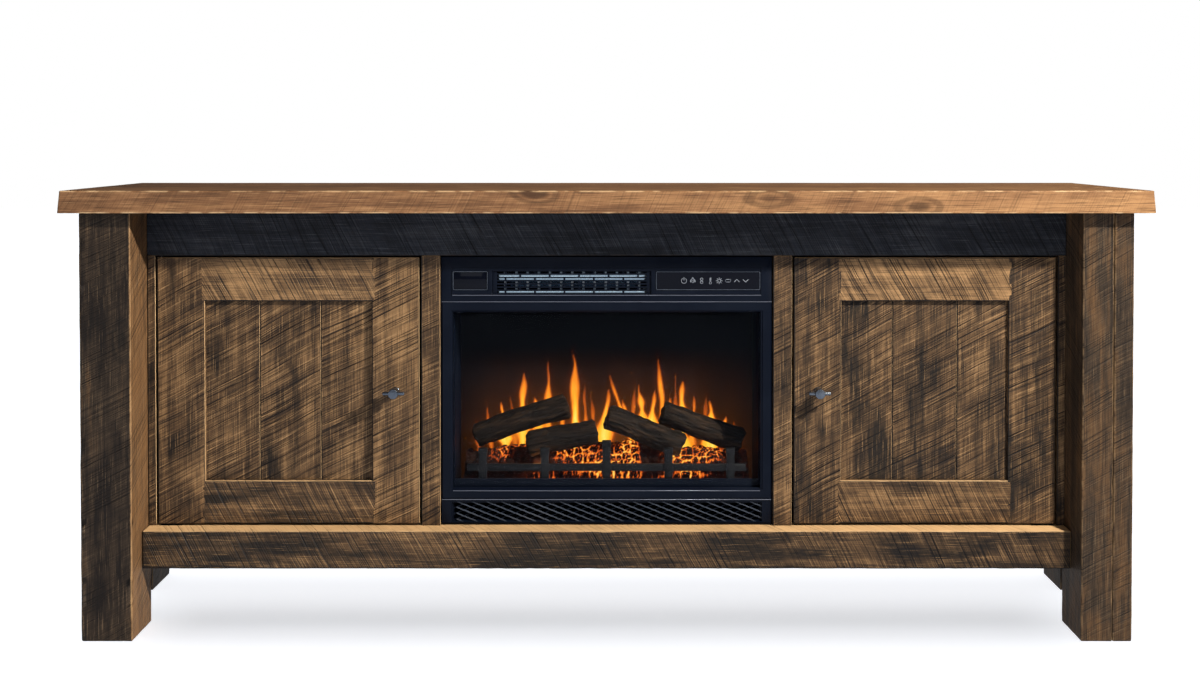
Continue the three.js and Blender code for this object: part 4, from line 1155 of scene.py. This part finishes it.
def grow(name, tree, values, body, points=(), replaced=()):
    # runs a tree on a bare mesh, then keeps the result as a plain mesh
    seedMesh = bpy.data.meshes.new(name + "Seed")
    seedMesh.from_pydata([tuple(p) for p in points], [], [])
    seed = bpy.data.objects.new(name + "Seed", seedMesh)
    bpy.context.scene.collection.objects.link(seed)
    modifier = seed.modifiers.new("grow", "NODES")
    modifier.node_group = tree
    for item in tree.interface.items_tree:
        if item.in_out == "INPUT" and item.name in values:
            modifier[item.identifier] = values[item.name]
    graph = bpy.context.evaluated_depsgraph_get()
    mesh = bpy.data.meshes.new_from_object(seed.evaluated_get(graph), depsgraph=graph)
    mesh.name = name
    bpy.data.objects.remove(seed)
    return addPiece(name, mesh, body, replaced)


bars = barRows()
screws = screwHeads()

# the insert's front

frontLook = {
    "breakEdge": 0.0007,
    "window": ((-0.2695, 0.2350), (0.2695, 0.5490)),    # the glass's opening, across and up
    "frameProud": 0.0016, "frameDeep": 0.0025,
    "frameUnder": 0.0150, "frameOver": 0.0175,
    "bands": ((0.0185, 0.5775, 0.6255), (0.0008, 0.1785, 0.2185)),      # inset, low and high
    "bandProud": 0.0010, "bandRim": 0.0016,
    "display": ((-0.2695, 0.5860), (-0.2075, 0.6200)),
    "windowRim": 0.0013, "windowRounding": 0.0022,
}
glintLineLook = {
    "thick": 0.0011,
    "control": (0.5776, 0.0013), "over": (0.5662, 0.0019),              # height and how proud
    "under": (0.2345, 0.0019), "intake": (0.2188, 0.0013),
    "controlHalf": 0.2700, "underHalf": 0.2690,
}
outletLook = {
    "rows": 8, "pitch": 0.0057, "bar": 0.0027, "depth": 0.0014,
    "slot": 0.0516, "web": 0.0034, "webDepth": 0.0013,
    "rods": ((1.5, 0.0056), (-3.0, 0.0032)),    # height in pitches from the middle, and radius
    "rodBehind": 0.0076,
}
meshLook = {
    "rows": 7, "pitch": (0.0257, 0.0052), "strand": 0.013872, "thick": 0.0016,
    # turn in degrees, depth, set back, share of the pitch aside
    "strands": {"falling": (24.0, 0.0030, -0.0009, 0.25), "rising": (-24.0, 0.0014, 0.0006, -0.25)},
}


def makeGlintLines():
    # thin pale metal strips painted as glints: under the control band, over and under the window, over the
    # intake
    low, high = corners("bezel")
    front = low[1]
    bm = bmesh.new()
    half = glintLineLook["thick"] / 2
    wide = (low[0] + 0.001, high[0] - 0.001)
    control, under = glintLineLook["controlHalf"], glintLineLook["underHalf"]
    for name, (x0, x1) in (("control", (-control, control)), ("over", wide),
                           ("under", (-under, under)), ("intake", wide)):
        z, proud = glintLineLook[name]
        addBlock(bm, (x0, front - proud, z - half), (x1, front + 0.0004, z + half), 0.0002, 1)
    finishPiece("bezel_glint_lines", bm, metals["glintSteel"], "cabinet")


def makeBezel():
    low, high = corners("bezel")
    front = low[1]
    black = metals["blackCoat"]
    softened("bezel", "bezel_sheet", black, "cabinet", frontLook["breakEdge"])
    bm = bmesh.new()
    (_, openLow), (openRight, openHigh) = frontLook["window"]
    proud, deep = front - frontLook["frameProud"], front + frontLook["frameDeep"]
    wide = high[0] - openRight
    addRing(bm, (low[0] + 0.0008, openLow - frontLook["frameUnder"]),
            (high[0] - 0.0008, openHigh + frontLook["frameOver"]),
            [(0, front + 0.0004), (0.0022, proud), (wide - 0.0045, proud), (wide - 0.0010, deep),
             (wide - 0.0010, front + 0.006), (0.0, front + 0.006)])
    # the lines round the control band and the intake band
    rim, proud = frontLook["bandRim"], front - frontLook["bandProud"]
    for inset, bandLow, bandHigh in frontLook["bands"]:
        addRing(bm, (low[0] + inset, bandLow), (high[0] - inset, bandHigh),
                [(0, front + 0.001), (rim * 0.3, proud), (rim * 0.7, proud), (rim, front + 0.001)])
    finishPiece("bezel_frames", bm, black, "cabinet")
    # the display and the panel each have a thin rim
    bm = bmesh.new()
    rim = frontLook["windowRim"]
    panelLow, panelHigh = corners("touch_panel")
    for a, b in (frontLook["display"], (panelLow[[0, 2]], panelHigh[[0, 2]])):
        addRing(bm, (a[0] + 0.0006, a[1] + 0.0006), (b[0] - 0.0006, b[1] - 0.0006),
                [(0, front + 0.0024), (0.0002, front - 0.0003), (rim * 0.7, front - 0.0003),
                 (rim, front + 0.0024)], frontLook["windowRounding"])
    finishPiece("window_rims", bm, metals["darkIron"], "cabinet")
    bm = bmesh.new()
    a, b = frontLook["display"]
    addBlock(bm, (a[0] + rim, front + 0.0012, a[1] + rim), (b[0] - rim, front + 0.0026, b[1] - rim), 0.0005)
    finishPiece("display_pane", bm, metals["blackGloss"], "cabinet")


def makeOutlet():
    # thin bars and webs, laid like bricks, over two polished rods that glow as a painted reflection of the
    # key
    low, high = corners("outlet_grille")
    black = metals["blackCoat"]
    pitch, rows, slot = outletLook["pitch"], outletLook["rows"], outletLook["slot"]
    front = low[1] + 0.0008
    width = high[0] - low[0]
    middle = (low + high) / 2
    base = middle[2] - pitch * (rows - 1) / 2
    plain = {"Row Pitch": pitch, "Bar Turn": 0.0, "Finish": black}
    grow("outlet_bars", bars,
         {**plain, "Columns": 1, "Rows": rows, "Column Pitch": 0.0, "Stagger": 0.0,
          "Start": (middle[0], front, base),
          "Bar Size": (width - 0.001, outletLook["depth"], outletLook["bar"])},
         "cabinet", replaced=["outlet_grille"])
    columns = int(width / slot)
    start = low[0] + (width - columns * slot) / 2 + slot * 0.25
    grow("outlet_webs", bars,
         {**plain, "Columns": columns, "Rows": rows - 1, "Column Pitch": slot, "Stagger": slot * 0.5,
          "Start": (start, front, base + pitch / 2),
          "Bar Size": (outletLook["web"], outletLook["webDepth"], pitch)}, "cabinet")
    bm = bmesh.new()
    for end in (low[0] + 0.004, high[0] - 0.004):
        addBlock(bm, (end - 0.0038, front - 0.0008, low[2] + 0.0005),
                 (end + 0.0038, front + 0.0006, high[2] - 0.0005), 0.0003)
    finishPiece("outlet_ends", bm, black, "cabinet")
    bm = bmesh.new()
    half = width * 0.46
    for rise, radius in outletLook["rods"]:
        spot = Vector((middle[0], front + outletLook["rodBehind"], middle[2] + pitch * rise))
        profile = [(radius * 0.7, -half), (radius, -half + 0.002),
                   (radius, half - 0.002), (radius * 0.7, half)]
        addTurned(bm, profile, spot, "x", 20)
    finishPiece("outlet_rods", bm, metals["litSteel"], "cabinet")


def makeIntake():
    # expanded mesh: strands that fall to the right stand before strands that rise
    low, high = corners("lower_grille")
    px, pz = meshLook["pitch"]
    rows, front = meshLook["rows"], low[1] + 0.0004
    middle = (low + high) / 2
    columns = int((high[0] - low[0]) / px)
    # the falling strands take the paler coat as a painted highlight; the rising ones stay black
    for label, (turn, depth, back, aside) in meshLook["strands"].items():
        falling = label == "falling"
        grow("intake_mesh_" + label, bars,
             {"Columns": columns, "Rows": rows, "Column Pitch": px, "Row Pitch": pz, "Stagger": px / 2,
              "Start": (-px * (columns - 0.5) / 2 + px * aside, front + back,
                        middle[2] - pz * (rows - 1) / 2),
              "Bar Size": (meshLook["strand"], depth, meshLook["thick"]), "Bar Turn": math.radians(turn),
              "Finish": metals["litStrandCoat" if falling else "blackCoat"]}, "cabinet",
             replaced=["lower_grille"] if falling else ())
    bm = bmesh.new()
    addRing(bm, (low[0], low[2]), (high[0], high[2]),
            [(0, front + 0.0012), (0, front - 0.0012), (0.0022, front - 0.0012), (0.0028, front + 0.0012)])
    finishPiece("intake_edge", bm, metals["blackCoat"], "cabinet")


iconLook = {"pitch": 0.0154, "size": 0.0054, "line": 0.00080, "lift": 0.00025, "start": 0.27, "overrun": 0.3}


def arc(cx, cz, radius, start, end, steps=12):
    angles = [math.radians(start + (end - start) * k / steps) for k in range(steps + 1)]
    return [(cx + radius * math.cos(a), cz + radius * math.sin(a)) for a in angles]


def makeIcons():
    # eight plain signs: power, flame, fan, thermometer, lamp, cloud, up and down
    low, high = corners("touch_panel")
    front = low[1]
    size = iconLook["size"]
    signs = [
        [arc(0, 0, 0.85, 125, 415), [(0, 0.15), (0, 1.1)]],
        [arc(0, -0.2, 0.8, 200, -20), [(-0.75, -0.45), (-0.5, 0.2), (0, 1.1), (0.35, 0.4), (0.75, -0.45)],
         arc(0, -0.3, 0.35, 0, 360)],
        [arc(0, 0.5, 0.42, -90, 270), arc(0, -0.5, 0.42, 90, 450)],
        [arc(0, -0.7, 0.36, 110, 430), [(-0.14, -0.4), (-0.14, 0.9), (0.14, 0.9), (0.14, -0.4)]],
        [arc(0, 0, 0.5, 0, 360)] + [[(0.7 * math.cos(a), 0.7 * math.sin(a)), (math.cos(a), math.sin(a))]
                                    for a in (k * math.pi / 4 for k in range(8))],
        [arc(-0.45, 0, 0.42, 90, 270) + arc(0.45, 0, 0.42, -90, 90) + [(-0.45, 0.42)]],
        [[(-0.85, -0.4), (0, 0.45), (0.85, -0.4)]],
        [[(-0.85, 0.4), (0, -0.45), (0.85, 0.4)]],
    ]
    bm = bmesh.new()
    middle = (low[2] + high[2]) / 2
    first = low[0] + (high[0] - low[0]) * iconLook["start"]
    for index, sign in enumerate(signs):
        cx = first + index * iconLook["pitch"]
        for line in sign:
            for (ax, az), (bx, bz) in zip(line, line[1:]):
                a = Vector((cx + ax * size, front, middle + az * size))
                b = Vector((cx + bx * size, front, middle + bz * size))
                way = (b - a).normalized()
                aside = Vector((-way.z, 0, way.x)) * iconLook["line"] / 2
                over = way * iconLook["line"] * iconLook["overrun"]
                ends = [a - over + aside, a - over - aside, b + over - aside, b + over + aside]
                back = [bm.verts.new(p + Vector((0, 0.00005, 0))) for p in ends]
                face = [bm.verts.new(p - Vector((0, iconLook["lift"], 0))) for p in ends]
                bm.faces.new(face)
                bm.faces.new(back[::-1])
                for k in range(4):
                    bm.faces.new((back[k], back[(k + 1) % 4], face[(k + 1) % 4], face[k]))
    finishPiece("panel_icons", bm, metals["panelIcons"], "cabinet", smooth=False)


makeBezel()
makeOutlet()
makeGlintLines()
makeIntake()
makeIcons()
print("insert front made")

# the fire: flames on the screen, ember bed, logs and grate

# each tongue: foot across and up, tip across and up, width and heat, in millimetres from the middle
# of the screen's lower edge
tongues = [
    (-217, 106, -223, 151, 6, 0.45), (-190, 112, -194, 146, 14, 1.0), (-154, 126, -154, 205, 21, 0.9),
    (-127, 136, -129, 158, 11, 0.8), (-107, 140, -107, 222, 14, 0.72), (-84, 150, -86, 162, 8, 0.6),
    (-57, 106, -60, 240, 24, 1.0), (-25, 116, -27, 166, 9, 0.45), (-4, 86, 1, 172, 27, 1.0),
    (30, 122, 3, 200, 14, 0.78), (36, 128, 27, 152, 10, 0.7), (64, 140, 60, 178, 12, 0.8),
    (83, 104, 87, 168, 21, 1.0), (103, 108, 95, 232, 19, 0.82), (117, 132, 113, 164, 8, 0.6),
    (126, 128, 129, 200, 9, 0.4), (139, 124, 139, 186, 20, 1.0), (159, 122, 162, 164, 9, 0.6),
    (181, 118, 183, 170, 9, 0.4), (190, 106, 190, 150, 17, 1.0), (215, 92, 213, 120, 13, 1.0),
    (236, 88, 232, 115, 8, 0.5), (-236, 92, -238, 120, 8, 0.4), (-172, 118, -176, 160, 9, 0.45),
    (-38, 112, -41, 188, 10, 0.5), (48, 112, 52, 190, 10, 0.45),
]
screenLook = {"cell": 0.0021, "hazeRise": 0.215, "hazeWidth": 0.225, "hazeFoot": 0.095}


def gridFaces(rows, columns):
    # quads over a sheet of rows by columns of vertices
    faces = []
    for row in range(rows - 1):
        k = np.arange(columns - 1) + row * columns
        faces += np.c_[k, k + 1, k + 1 + columns, k + columns].tolist()
    return faces


def shellMesh(name, points, faces, material):
    # a closed shell whose faces all point outwards
    mesh = bpy.data.meshes.new(name)
    mesh.from_pydata(points.tolist(), [], faces)
    shell = bmesh.new()
    shell.from_mesh(mesh)
    bmesh.ops.recalc_face_normals(shell, faces=shell.faces)
    shell.to_mesh(mesh)
    shell.free()
    mesh.polygons.foreach_set("use_smooth", [len(p.vertices) == 4 for p in mesh.polygons])
    mesh.materials.append(material)
    return mesh


def tongueHeat(index, tongue, x, z, wobble):
    # a bright core that swells and narrows towards its tip, in a dimmer mantle
    footX, footZ, tipX, tipZ, width, strength = tongue
    t = (z - footZ) / (tipZ - footZ)
    clipped = np.clip(t, -1.5, 1)
    above = np.clip(clipped, 0, 1)
    curl = math.sin(index * 2.1) * 2.5 * np.sin(clipped * 4.2 + index)
    middle = footX + (tipX - footX) * clipped + curl * above + wobble * 9 * above
    swell = 0.78 + 0.34 * np.sin(clipped * 7 + index * 1.7)
    half = width * 0.66 * np.clip(1 - clipped, 0, 1) ** 0.75 * swell * np.where(t < 0, 1 + 0.7 * -clipped, 1)
    inside = np.clip(1 - (np.abs(x - middle) / np.maximum(half, 0.4)) ** 2, 0, 1)
    core = inside ** 0.7 * np.clip(1.08 - clipped, 0, 1) ** 0.5 * strength * np.where(t > 1, 0, 1)
    mantle = np.clip(1 - np.abs(x - middle) / (half * 2.6 + 4), 0, 1) ** 2
    return np.maximum(core * 0.95, mantle * np.clip(1.12 - t, 0, 1) * 0.46 * strength)


def makeScreen():
    low, high = corners("flame_screen")
    columns = int((high[0] - low[0]) / screenLook["cell"]) + 1
    rows = int((high[2] - low[2]) / screenLook["cell"]) + 1
    gx, gz = np.meshgrid(np.linspace(low[0], high[0], columns), np.linspace(low[2], high[2], rows))
    x, z = gx.ravel() * 1000, (gz.ravel() - low[2]) * 1000
    heat = np.zeros(len(x))
    wobble = softNoise(np.c_[x / 22, z / 30, np.zeros(len(x))], 4) - 0.5
    for index, tongue in enumerate(tongues):
        heat = np.maximum(heat, tongueHeat(index, tongue, x, z, wobble))
    heat *= np.clip((z + 10) / 60, 0, 1)
    crest, foot = screenLook["hazeRise"] * 1000, screenLook["hazeFoot"] * 1000
    fading = np.clip(1 - (z - foot) / (crest - 60), 0, 1) ** 1.5
    haze = np.exp(-(x / (screenLook["hazeWidth"] * 1000)) ** 4) * fading
    points = np.c_[gx.ravel(), np.full(len(x), low[1]), gz.ravel()]
    faces = gridFaces(rows, columns)
    # the rim runs back to a plain rear face, so the sheet is closed
    topRow = (rows - 1) * columns
    rim = list(range(columns)) + [row * columns + columns - 1 for row in range(1, rows)] \
        + [topRow + k for k in range(columns - 2, -1, -1)] + [row * columns for row in range(rows - 2, 0, -1)]
    start = len(points)
    back = points[rim].copy()
    back[:, 1] = high[1]
    points = np.vstack([points, back])
    count = len(rim)
    for k in range(count):
        after = (k + 1) % count
        faces.append([rim[k], start + k, start + after, rim[after]])
    faces.append([start + k for k in range(count)][::-1])
    mesh = bpy.data.meshes.new("flame_sheet")
    mesh.from_pydata(points.tolist(), [], faces)
    for label, values in (("burn", heat), ("haze", haze)):
        store(mesh, label, np.concatenate([values, values[rim]]))
    mesh.materials.append(metals["screenFilm"])
    addPiece("flame_sheet", mesh, "cabinet", ["flame_screen"])


def cellField(points, size, seed):
    # distance to the nearest and second nearest of the scattered centres, in cells
    scaled = points / size
    base = np.floor(scaled)
    first, second, mark = np.full(len(points), 9.0), np.full(len(points), 9.0), np.zeros(len(points))
    for i in (-1, 0, 1):
        for j in (-1, 0, 1):
            cell = base + (i, j)
            flat = np.c_[cell, np.zeros(len(cell))]
            jx, jy = softNoise(flat, seed), softNoise(flat, seed + 77)
            distance = np.hypot(scaled[:, 0] - cell[:, 0] - 0.12 - 0.76 * jx,
                                scaled[:, 1] - cell[:, 1] - 0.12 - 0.76 * jy)
            nearer = distance < first
            second = np.where(nearer, first, np.minimum(second, distance))
            mark = np.where(nearer, jx, mark)
            first = np.where(nearer, distance, first)
    return first, second, mark


emberLook = {
    "chunk": 0.0150, "rise": 0.0070,        # width and height of the large lumps
    "small": 0.0062, "smallRise": 0.0022,
    "columns": 300, "step": 0.0022,
    "heap": 1.30,                           # the section is stretched upwards by this
    "overTop": 0.030,                       # no lump rises further than this above the CAD's bed
    # from the front foot over the crest to the rear foot, in shares of depth and height
    "section": [(0.28, 0.72), (0.55, 0.93), (0.80, 0.93)],
    "frontHeight": 0.42, "rearHeight": 0.80,
}


def emberPath(depth, height):
    # the heap's section as even steps, with the way along it and the outward direction at each
    rise = height * emberLook["frontHeight"]
    outline = [(0.001, 0.0), (0.001, rise * 0.5), (0.002, rise)]
    outline += [(depth * y, height * z) for y, z in emberLook["section"]]
    outline += [(depth - 0.002, height * emberLook["rearHeight"]), (depth - 0.001, 0.0)]
    fine = []
    for (ay, az), (by, bz) in zip(outline, outline[1:]):
        count = max(1, int(math.hypot(by - ay, bz - az) / emberLook["step"]))
        fine += [(ay + (by - ay) * k / count, az + (bz - az) * k / count) for k in range(count)]
    fine = np.array(fine + [outline[-1]])
    path = np.concatenate([[0], np.cumsum(np.hypot(*np.diff(fine, axis=0).T))])
    tangent = np.gradient(fine, axis=0)
    tangent /= np.linalg.norm(tangent, axis=1)[:, None]
    return fine, path, np.c_[-tangent[:, 1], tangent[:, 0]]


def makeEmbers():
    low, high = corners("ember_bed")
    fine, path, normal = emberPath(high[1] - low[1], high[2] - low[2])
    columns, rows = emberLook["columns"] + 1, len(fine)
    gx, gs = np.meshgrid(np.linspace(low[0] + 0.002, high[0] - 0.002, columns), path)
    flat = np.c_[gx.ravel(), gs.ravel()]
    none, whole = np.zeros(len(flat)), np.ones(len(flat))
    warp = np.c_[softNoise(np.c_[flat * 60, none], 3), softNoise(np.c_[flat * 60, whole], 3)] - 0.5
    first, second, mark = cellField(flat + warp * 0.010, emberLook["chunk"], 12)
    smallFirst, smallSecond, _ = cellField(flat + warp * 0.006, emberLook["small"], 31)
    fromMiddle = np.abs(flat[:, 0] / high[0])
    sway = softNoise(np.c_[flat[:, 0] * 22, none, none], 2) - 0.5
    mound = emberLook["heap"] * (1 - 0.20 * fromMiddle ** 2) + sway * 0.14
    lift = np.clip(1 - first * 1.25, 0, 1) ** 0.6 * emberLook["rise"] * (0.4 + 0.9 * mark)
    lift += np.clip(1 - smallFirst * 1.2, 0, 1) * emberLook["smallRise"]
    # the gaps between the lumps glow, more in some areas than in others
    gap = np.clip(1 - (second - first) / 0.26, 0, 1) ** 1.3
    smallGap = np.clip(1 - (smallSecond - smallFirst) / 0.22, 0, 1) ** 1.6
    area = softNoise(np.c_[flat * 26, none], 9)
    ends = np.clip(1.18 - fromMiddle ** 3 * 1.1, 0, 1)
    glow = (gap * 0.95 + smallGap * 0.75) * np.clip((area - 0.25) * 2.2, 0.06, 1) * ends
    sectionY, sectionZ = np.repeat(fine[:, 0], columns), np.repeat(fine[:, 1], columns)
    ny, nz = np.repeat(normal[:, 0], columns), np.repeat(normal[:, 1], columns)
    ys = np.clip(low[1] + sectionY + ny * (lift - 0.002), low[1], high[1])
    zs = np.clip(low[2] + sectionZ * mound + nz * (lift - 0.002), low[2], high[2] + emberLook["overTop"])
    zs[sectionZ <= 0] = low[2]
    faces = gridFaces(rows, columns)
    lastRow = (rows - 1) * columns
    faces.append([row * columns for row in range(rows)])
    faces.append([row * columns + columns - 1 for row in range(rows)][::-1])
    faces.append(list(range(columns))[::-1] + [lastRow + k for k in range(columns)])
    mesh = shellMesh("ember_chunks", np.c_[gx.ravel(), ys, zs], faces, metals["emberResin"])
    mesh.polygons.foreach_set("use_smooth", [True] * len(mesh.polygons))
    store(mesh, "glow", glow)
    addPiece("ember_chunks", mesh, "cabinet", ["ember_bed"])


logLook = {
    "stations": 110, "ring": 72,
    "girth": 1.42, "drop": -0.004,      # thicker than the CAD's log, and a little lower
    "ridge": 0.30, "groove": 0.10, "bend": 0.0012, "slant": 0.006,
}


def logShape(node, index):
    # the CAD log's own middle, direction and half length, with a ridged skin round them
    corner = np.array([v.co for v in nodes[node].data.vertices])
    middle = corner.mean(axis=0)
    axis = np.linalg.svd(corner - middle, full_matrices=False)[2][0]
    axis *= np.sign(axis[0])
    spread = (corner - middle) @ axis
    half = (spread.max() - spread.min()) / 2
    radius = np.linalg.norm(corner - middle - np.outer(spread, axis), axis=1).max() * logLook["girth"]
    side = np.array([0.0, 1.0, 0.0])
    upward = np.cross(axis, side)
    ga, gt = np.meshgrid(np.linspace(-half, half, logLook["stations"]),
                         np.linspace(0, 2 * math.pi, logLook["ring"], endpoint=False), indexing="ij")
    ga, gt = ga.ravel(), gt.ravel()
    circle = np.c_[np.cos(gt), np.sin(gt)]
    ridge = softNoise(np.c_[ga * 26, circle * 3.4 + index * 5], 7) * 0.55
    ridge = ridge + softNoise(np.c_[ga * 70, circle * 8 + index], 8) * 0.45
    lumps = softNoise(np.c_[ga * 12, circle * 1.2 + 3 + index], 9)
    near = np.clip((half - np.abs(ga)) / 0.004, 0, 1)
    skin = 0.76 + logLook["ridge"] * (ridge - 0.15) + 0.10 * (lumps - 0.3)
    r = np.minimum(radius * skin * (0.90 + 0.10 * near ** 0.5), radius * 0.995)
    groove = np.abs(softNoise(np.c_[ga * 16 + 9, circle * 4.6 + index * 3], 5) - 0.5)
    r = r - radius * logLook["groove"] * np.clip(1 - groove / 0.07, 0, 1)
    bend = logLook["bend"] * np.cos(ga / half * 3.0 + index)
    slant = (softNoise(np.c_[circle * 2 + index, np.full(len(ga), index)], 6) - 0.5) * logLook["slant"]
    reach = ga + np.where(near < 1, slant * (1 - near) * -np.sign(ga) * 0.8, 0)
    points = middle + (0, 0, logLook["drop"]) + np.outer(reach, axis)
    points = points + np.outer(r * circle[:, 0], side) + np.outer(r * circle[:, 1] + bend, upward)
    grain = np.c_[ga + index, gt * radius, np.full(len(ga), index)]
    return points, grain, ridge, axis


def makeLogs():
    count, ring = logLook["stations"], logLook["ring"]
    lastRow = (count - 1) * ring
    around = np.arange(ring)
    after = (around + 1) % ring
    for index, node in enumerate(("log_back_left", "log_front_left", "log_middle_right", "log_back_right")):
        points, grain, ridge, axis = logShape(node, index)
        # a smaller ring inside each end carries the end grain
        startA, startB = len(points), len(points) + ring
        ends, endGrain = [], []
        for row, way in ((0, -1), (lastRow, 1)):
            rim = around + row
            centre = points[rim].mean(axis=0)
            ends.append(centre + (points[rim] - centre) * 0.9 - axis * way * 0.0003)
            endGrain.append(grain[rim])
        points = np.vstack([points, *ends])
        faces = []
        for k in range(count - 1):
            j, following = around + k * ring, after + k * ring
            faces += np.c_[j, following, following + ring, j + ring].tolist()
        for k in range(ring):
            faces.append([k, startA + k, startA + int(after[k]), int(after[k])])
            faces.append([lastRow + k, lastRow + int(after[k]), startB + int(after[k]), startB + k])
        faces.append([startA + k for k in range(ring)][::-1])
        faces.append([startB + k for k in range(ring)])
        mesh = shellMesh(node + "_bark", points, faces, metals["logBark"])
        store(mesh, "grain", np.vstack([grain, *endGrain]))
        store(mesh, "cut", np.concatenate([np.zeros(startA), np.ones(2 * ring)]))
        store(mesh, "ridge", np.concatenate([ridge, np.full(2 * ring, 0.3)]))
        addPiece(node + "_bark", mesh, "cabinet", [node])


grateLook = {
    "posts": 5, "spacing": 0.1096, "postWidth": 0.0145,
    "outerDrop": 0.013,                 # the middle post stands this much higher
    "foot": 0.222, "barLow": 0.041, "barHigh": 0.054,
    "cap": 0.0008, "capHeight": 0.012, "clasp": 0.001,
}


def makeGrate():
    low, high = corners("grate")
    bm = bmesh.new()
    barLow, barHigh = (grateLook["foot"] + grateLook[key] for key in ("barLow", "barHigh"))
    addBlock(bm, (low[0], low[1] + 0.001, barLow), (high[0], high[1] - 0.001, barHigh), 0.0016)
    half, cap, clasp = grateLook["postWidth"] / 2, grateLook["cap"], grateLook["clasp"]
    centre = (grateLook["posts"] - 1) / 2
    for k in range(grateLook["posts"]):
        x = (low[0] + high[0]) / 2 + (k - centre) * grateLook["spacing"]
        top = high[2] if k == centre else high[2] - grateLook["outerDrop"]
        addBlock(bm, (x - half, low[1], low[2]), (x + half, high[1], top), 0.0014)
        addBlock(bm, (x - half - cap, low[1] - 0.0002, top - grateLook["capHeight"]),
                 (x + half + cap, high[1], top), 0.0016)
        addBlock(bm, (x - half - clasp, low[1] - 0.0006, barLow - clasp),
                 (x + half + clasp, high[1], barHigh + clasp), 0.0012)
    finishPiece("grate_bars", bm, metals["castIron"], "cabinet", ["grate"])


knobLook = {
    # radius and distance from the door's face
    "neck": [(0.0066, 0.0), (0.0070, 0.0006), (0.0066, 0.0014), (0.0056, 0.0022),
             (0.0052, 0.0040), (0.0050, 0.0150)],
    "headHalf": 0.0092, "headDeep": 0.0165, "headSides": 8, "breakEdge": 0.0012,
    # radius and distance from the bar's end
    "barEnd": [(0.0026, 0.0), (0.0032, 0.0006), (0.0034, 0.0016)],
    "barBehind": 0.008,
    "boss": [(0.0022, -0.0004), (0.0030, -0.0002), (0.0030, 0.0002)],
}


def makeKnobs():
    headHalf, headDeep = knobLook["headHalf"], knobLook["headDeep"]
    for side in ("left", "right"):
        low, high = corners("knob_" + side)
        middle = (low + high) / 2
        back, tip = high[1], low[1]
        onAxis = (middle[0], 0, middle[2])
        bm = bmesh.new()
        addTurned(bm, [(radius, -back + reach) for radius, reach in knobLook["neck"]], onAxis, "y", 28)
        # an eight-sided head with broken edges
        head = bmesh.ops.create_cone(bm, cap_ends=True, segments=knobLook["headSides"], depth=headDeep,
                                     radius1=headHalf * 1.04, radius2=headHalf * 0.98)["verts"]
        turn = Matrix.Translation((middle[0], tip + headDeep / 2 + 0.0003, middle[2])) \
            @ Matrix.Rotation(math.radians(90), 4, "X") @ Matrix.Rotation(math.radians(22.5), 4, "Z")
        bmesh.ops.transform(bm, matrix=turn, verts=head)
        bmesh.ops.bevel(bm, geom=edgesOf(head), offset=knobLook["breakEdge"], segments=3,
                        affect="EDGES", profile=0.6)
        # a bar through the head, then the small boss on its face
        start, end = low[0] - middle[0], high[0] - middle[0]
        bar = [(radius, start + reach) for radius, reach in knobLook["barEnd"]]
        bar += [(radius, end - reach) for radius, reach in reversed(knobLook["barEnd"])]
        addTurned(bm, bar, (middle[0], tip + knobLook["barBehind"], middle[2]), "x", 18)
        addTurned(bm, [(radius, -tip + reach) for radius, reach in knobLook["boss"]], onAxis, "y", 14)
        finishPiece("knob_head_" + side, bm, metals["darkIron"], "door_" + side, ["knob_" + side])


def addEmberLights():
    low, high = corners("ember_bed")
    for side, x in (("Left", -0.12), ("Right", 0.12)):
        addLight("emberLight" + side, "POINT", (x, low[1] + 0.010, high[2] - 0.012), (0, 0, 0.5),
                 lighting["emberPower"], lighting["emberSize"], lighting["emberColour"])


makeScreen()
makeEmbers()
makeLogs()
makeGrate()
makeKnobs()
addEmberLights()
print("fire, grate and knobs made")

# screws on the back panel and on the insert's housing

screwLook = {
    "turn": (math.radians(-90), 0, 0),
    "back": {"Radius": 0.0042, "Height": 0.0018, "Seed": 5},
    "backEdge": 0.022, "backPitch": 0.29, "backHeights": (0.190, 0.632),
    "housing": {"Radius": 0.0034, "Height": 0.0015, "Seed": 9},
    "housingEdge": 0.012, "housingMiddle": 0.11, "housingProud": 0.0006,
}


def makeScrews():
    common = {"Turn": screwLook["turn"], "Finish": metals["plainSteel"]}
    low, high = corners("back_panel")
    edge = screwLook["backEdge"]
    across = int((high[0] - low[0]) / screwLook["backPitch"])
    spots = [low[0] + edge + (high[0] - low[0] - 2 * edge) * k / across for k in range(across + 1)]
    y = high[1] + screwLook["back"]["Height"] * 0.4
    grow("back_screws", screws, {**screwLook["back"], **common}, "cabinet",
         [(x, y, z) for x in spots for z in screwLook["backHeights"]])
    low, high = corners("insert_housing")
    edge, inner = screwLook["housingEdge"], screwLook["housingMiddle"]
    y = high[1] + screwLook["housingProud"]
    spots = [low[0] + edge, -inner, inner, high[0] - edge]
    grow("housing_screws", screws, {**screwLook["housing"], **common}, "cabinet",
         [(x, y, z) for x in spots for z in (low[2] + edge, high[2] - edge)])


makeScrews()
print("screws set")
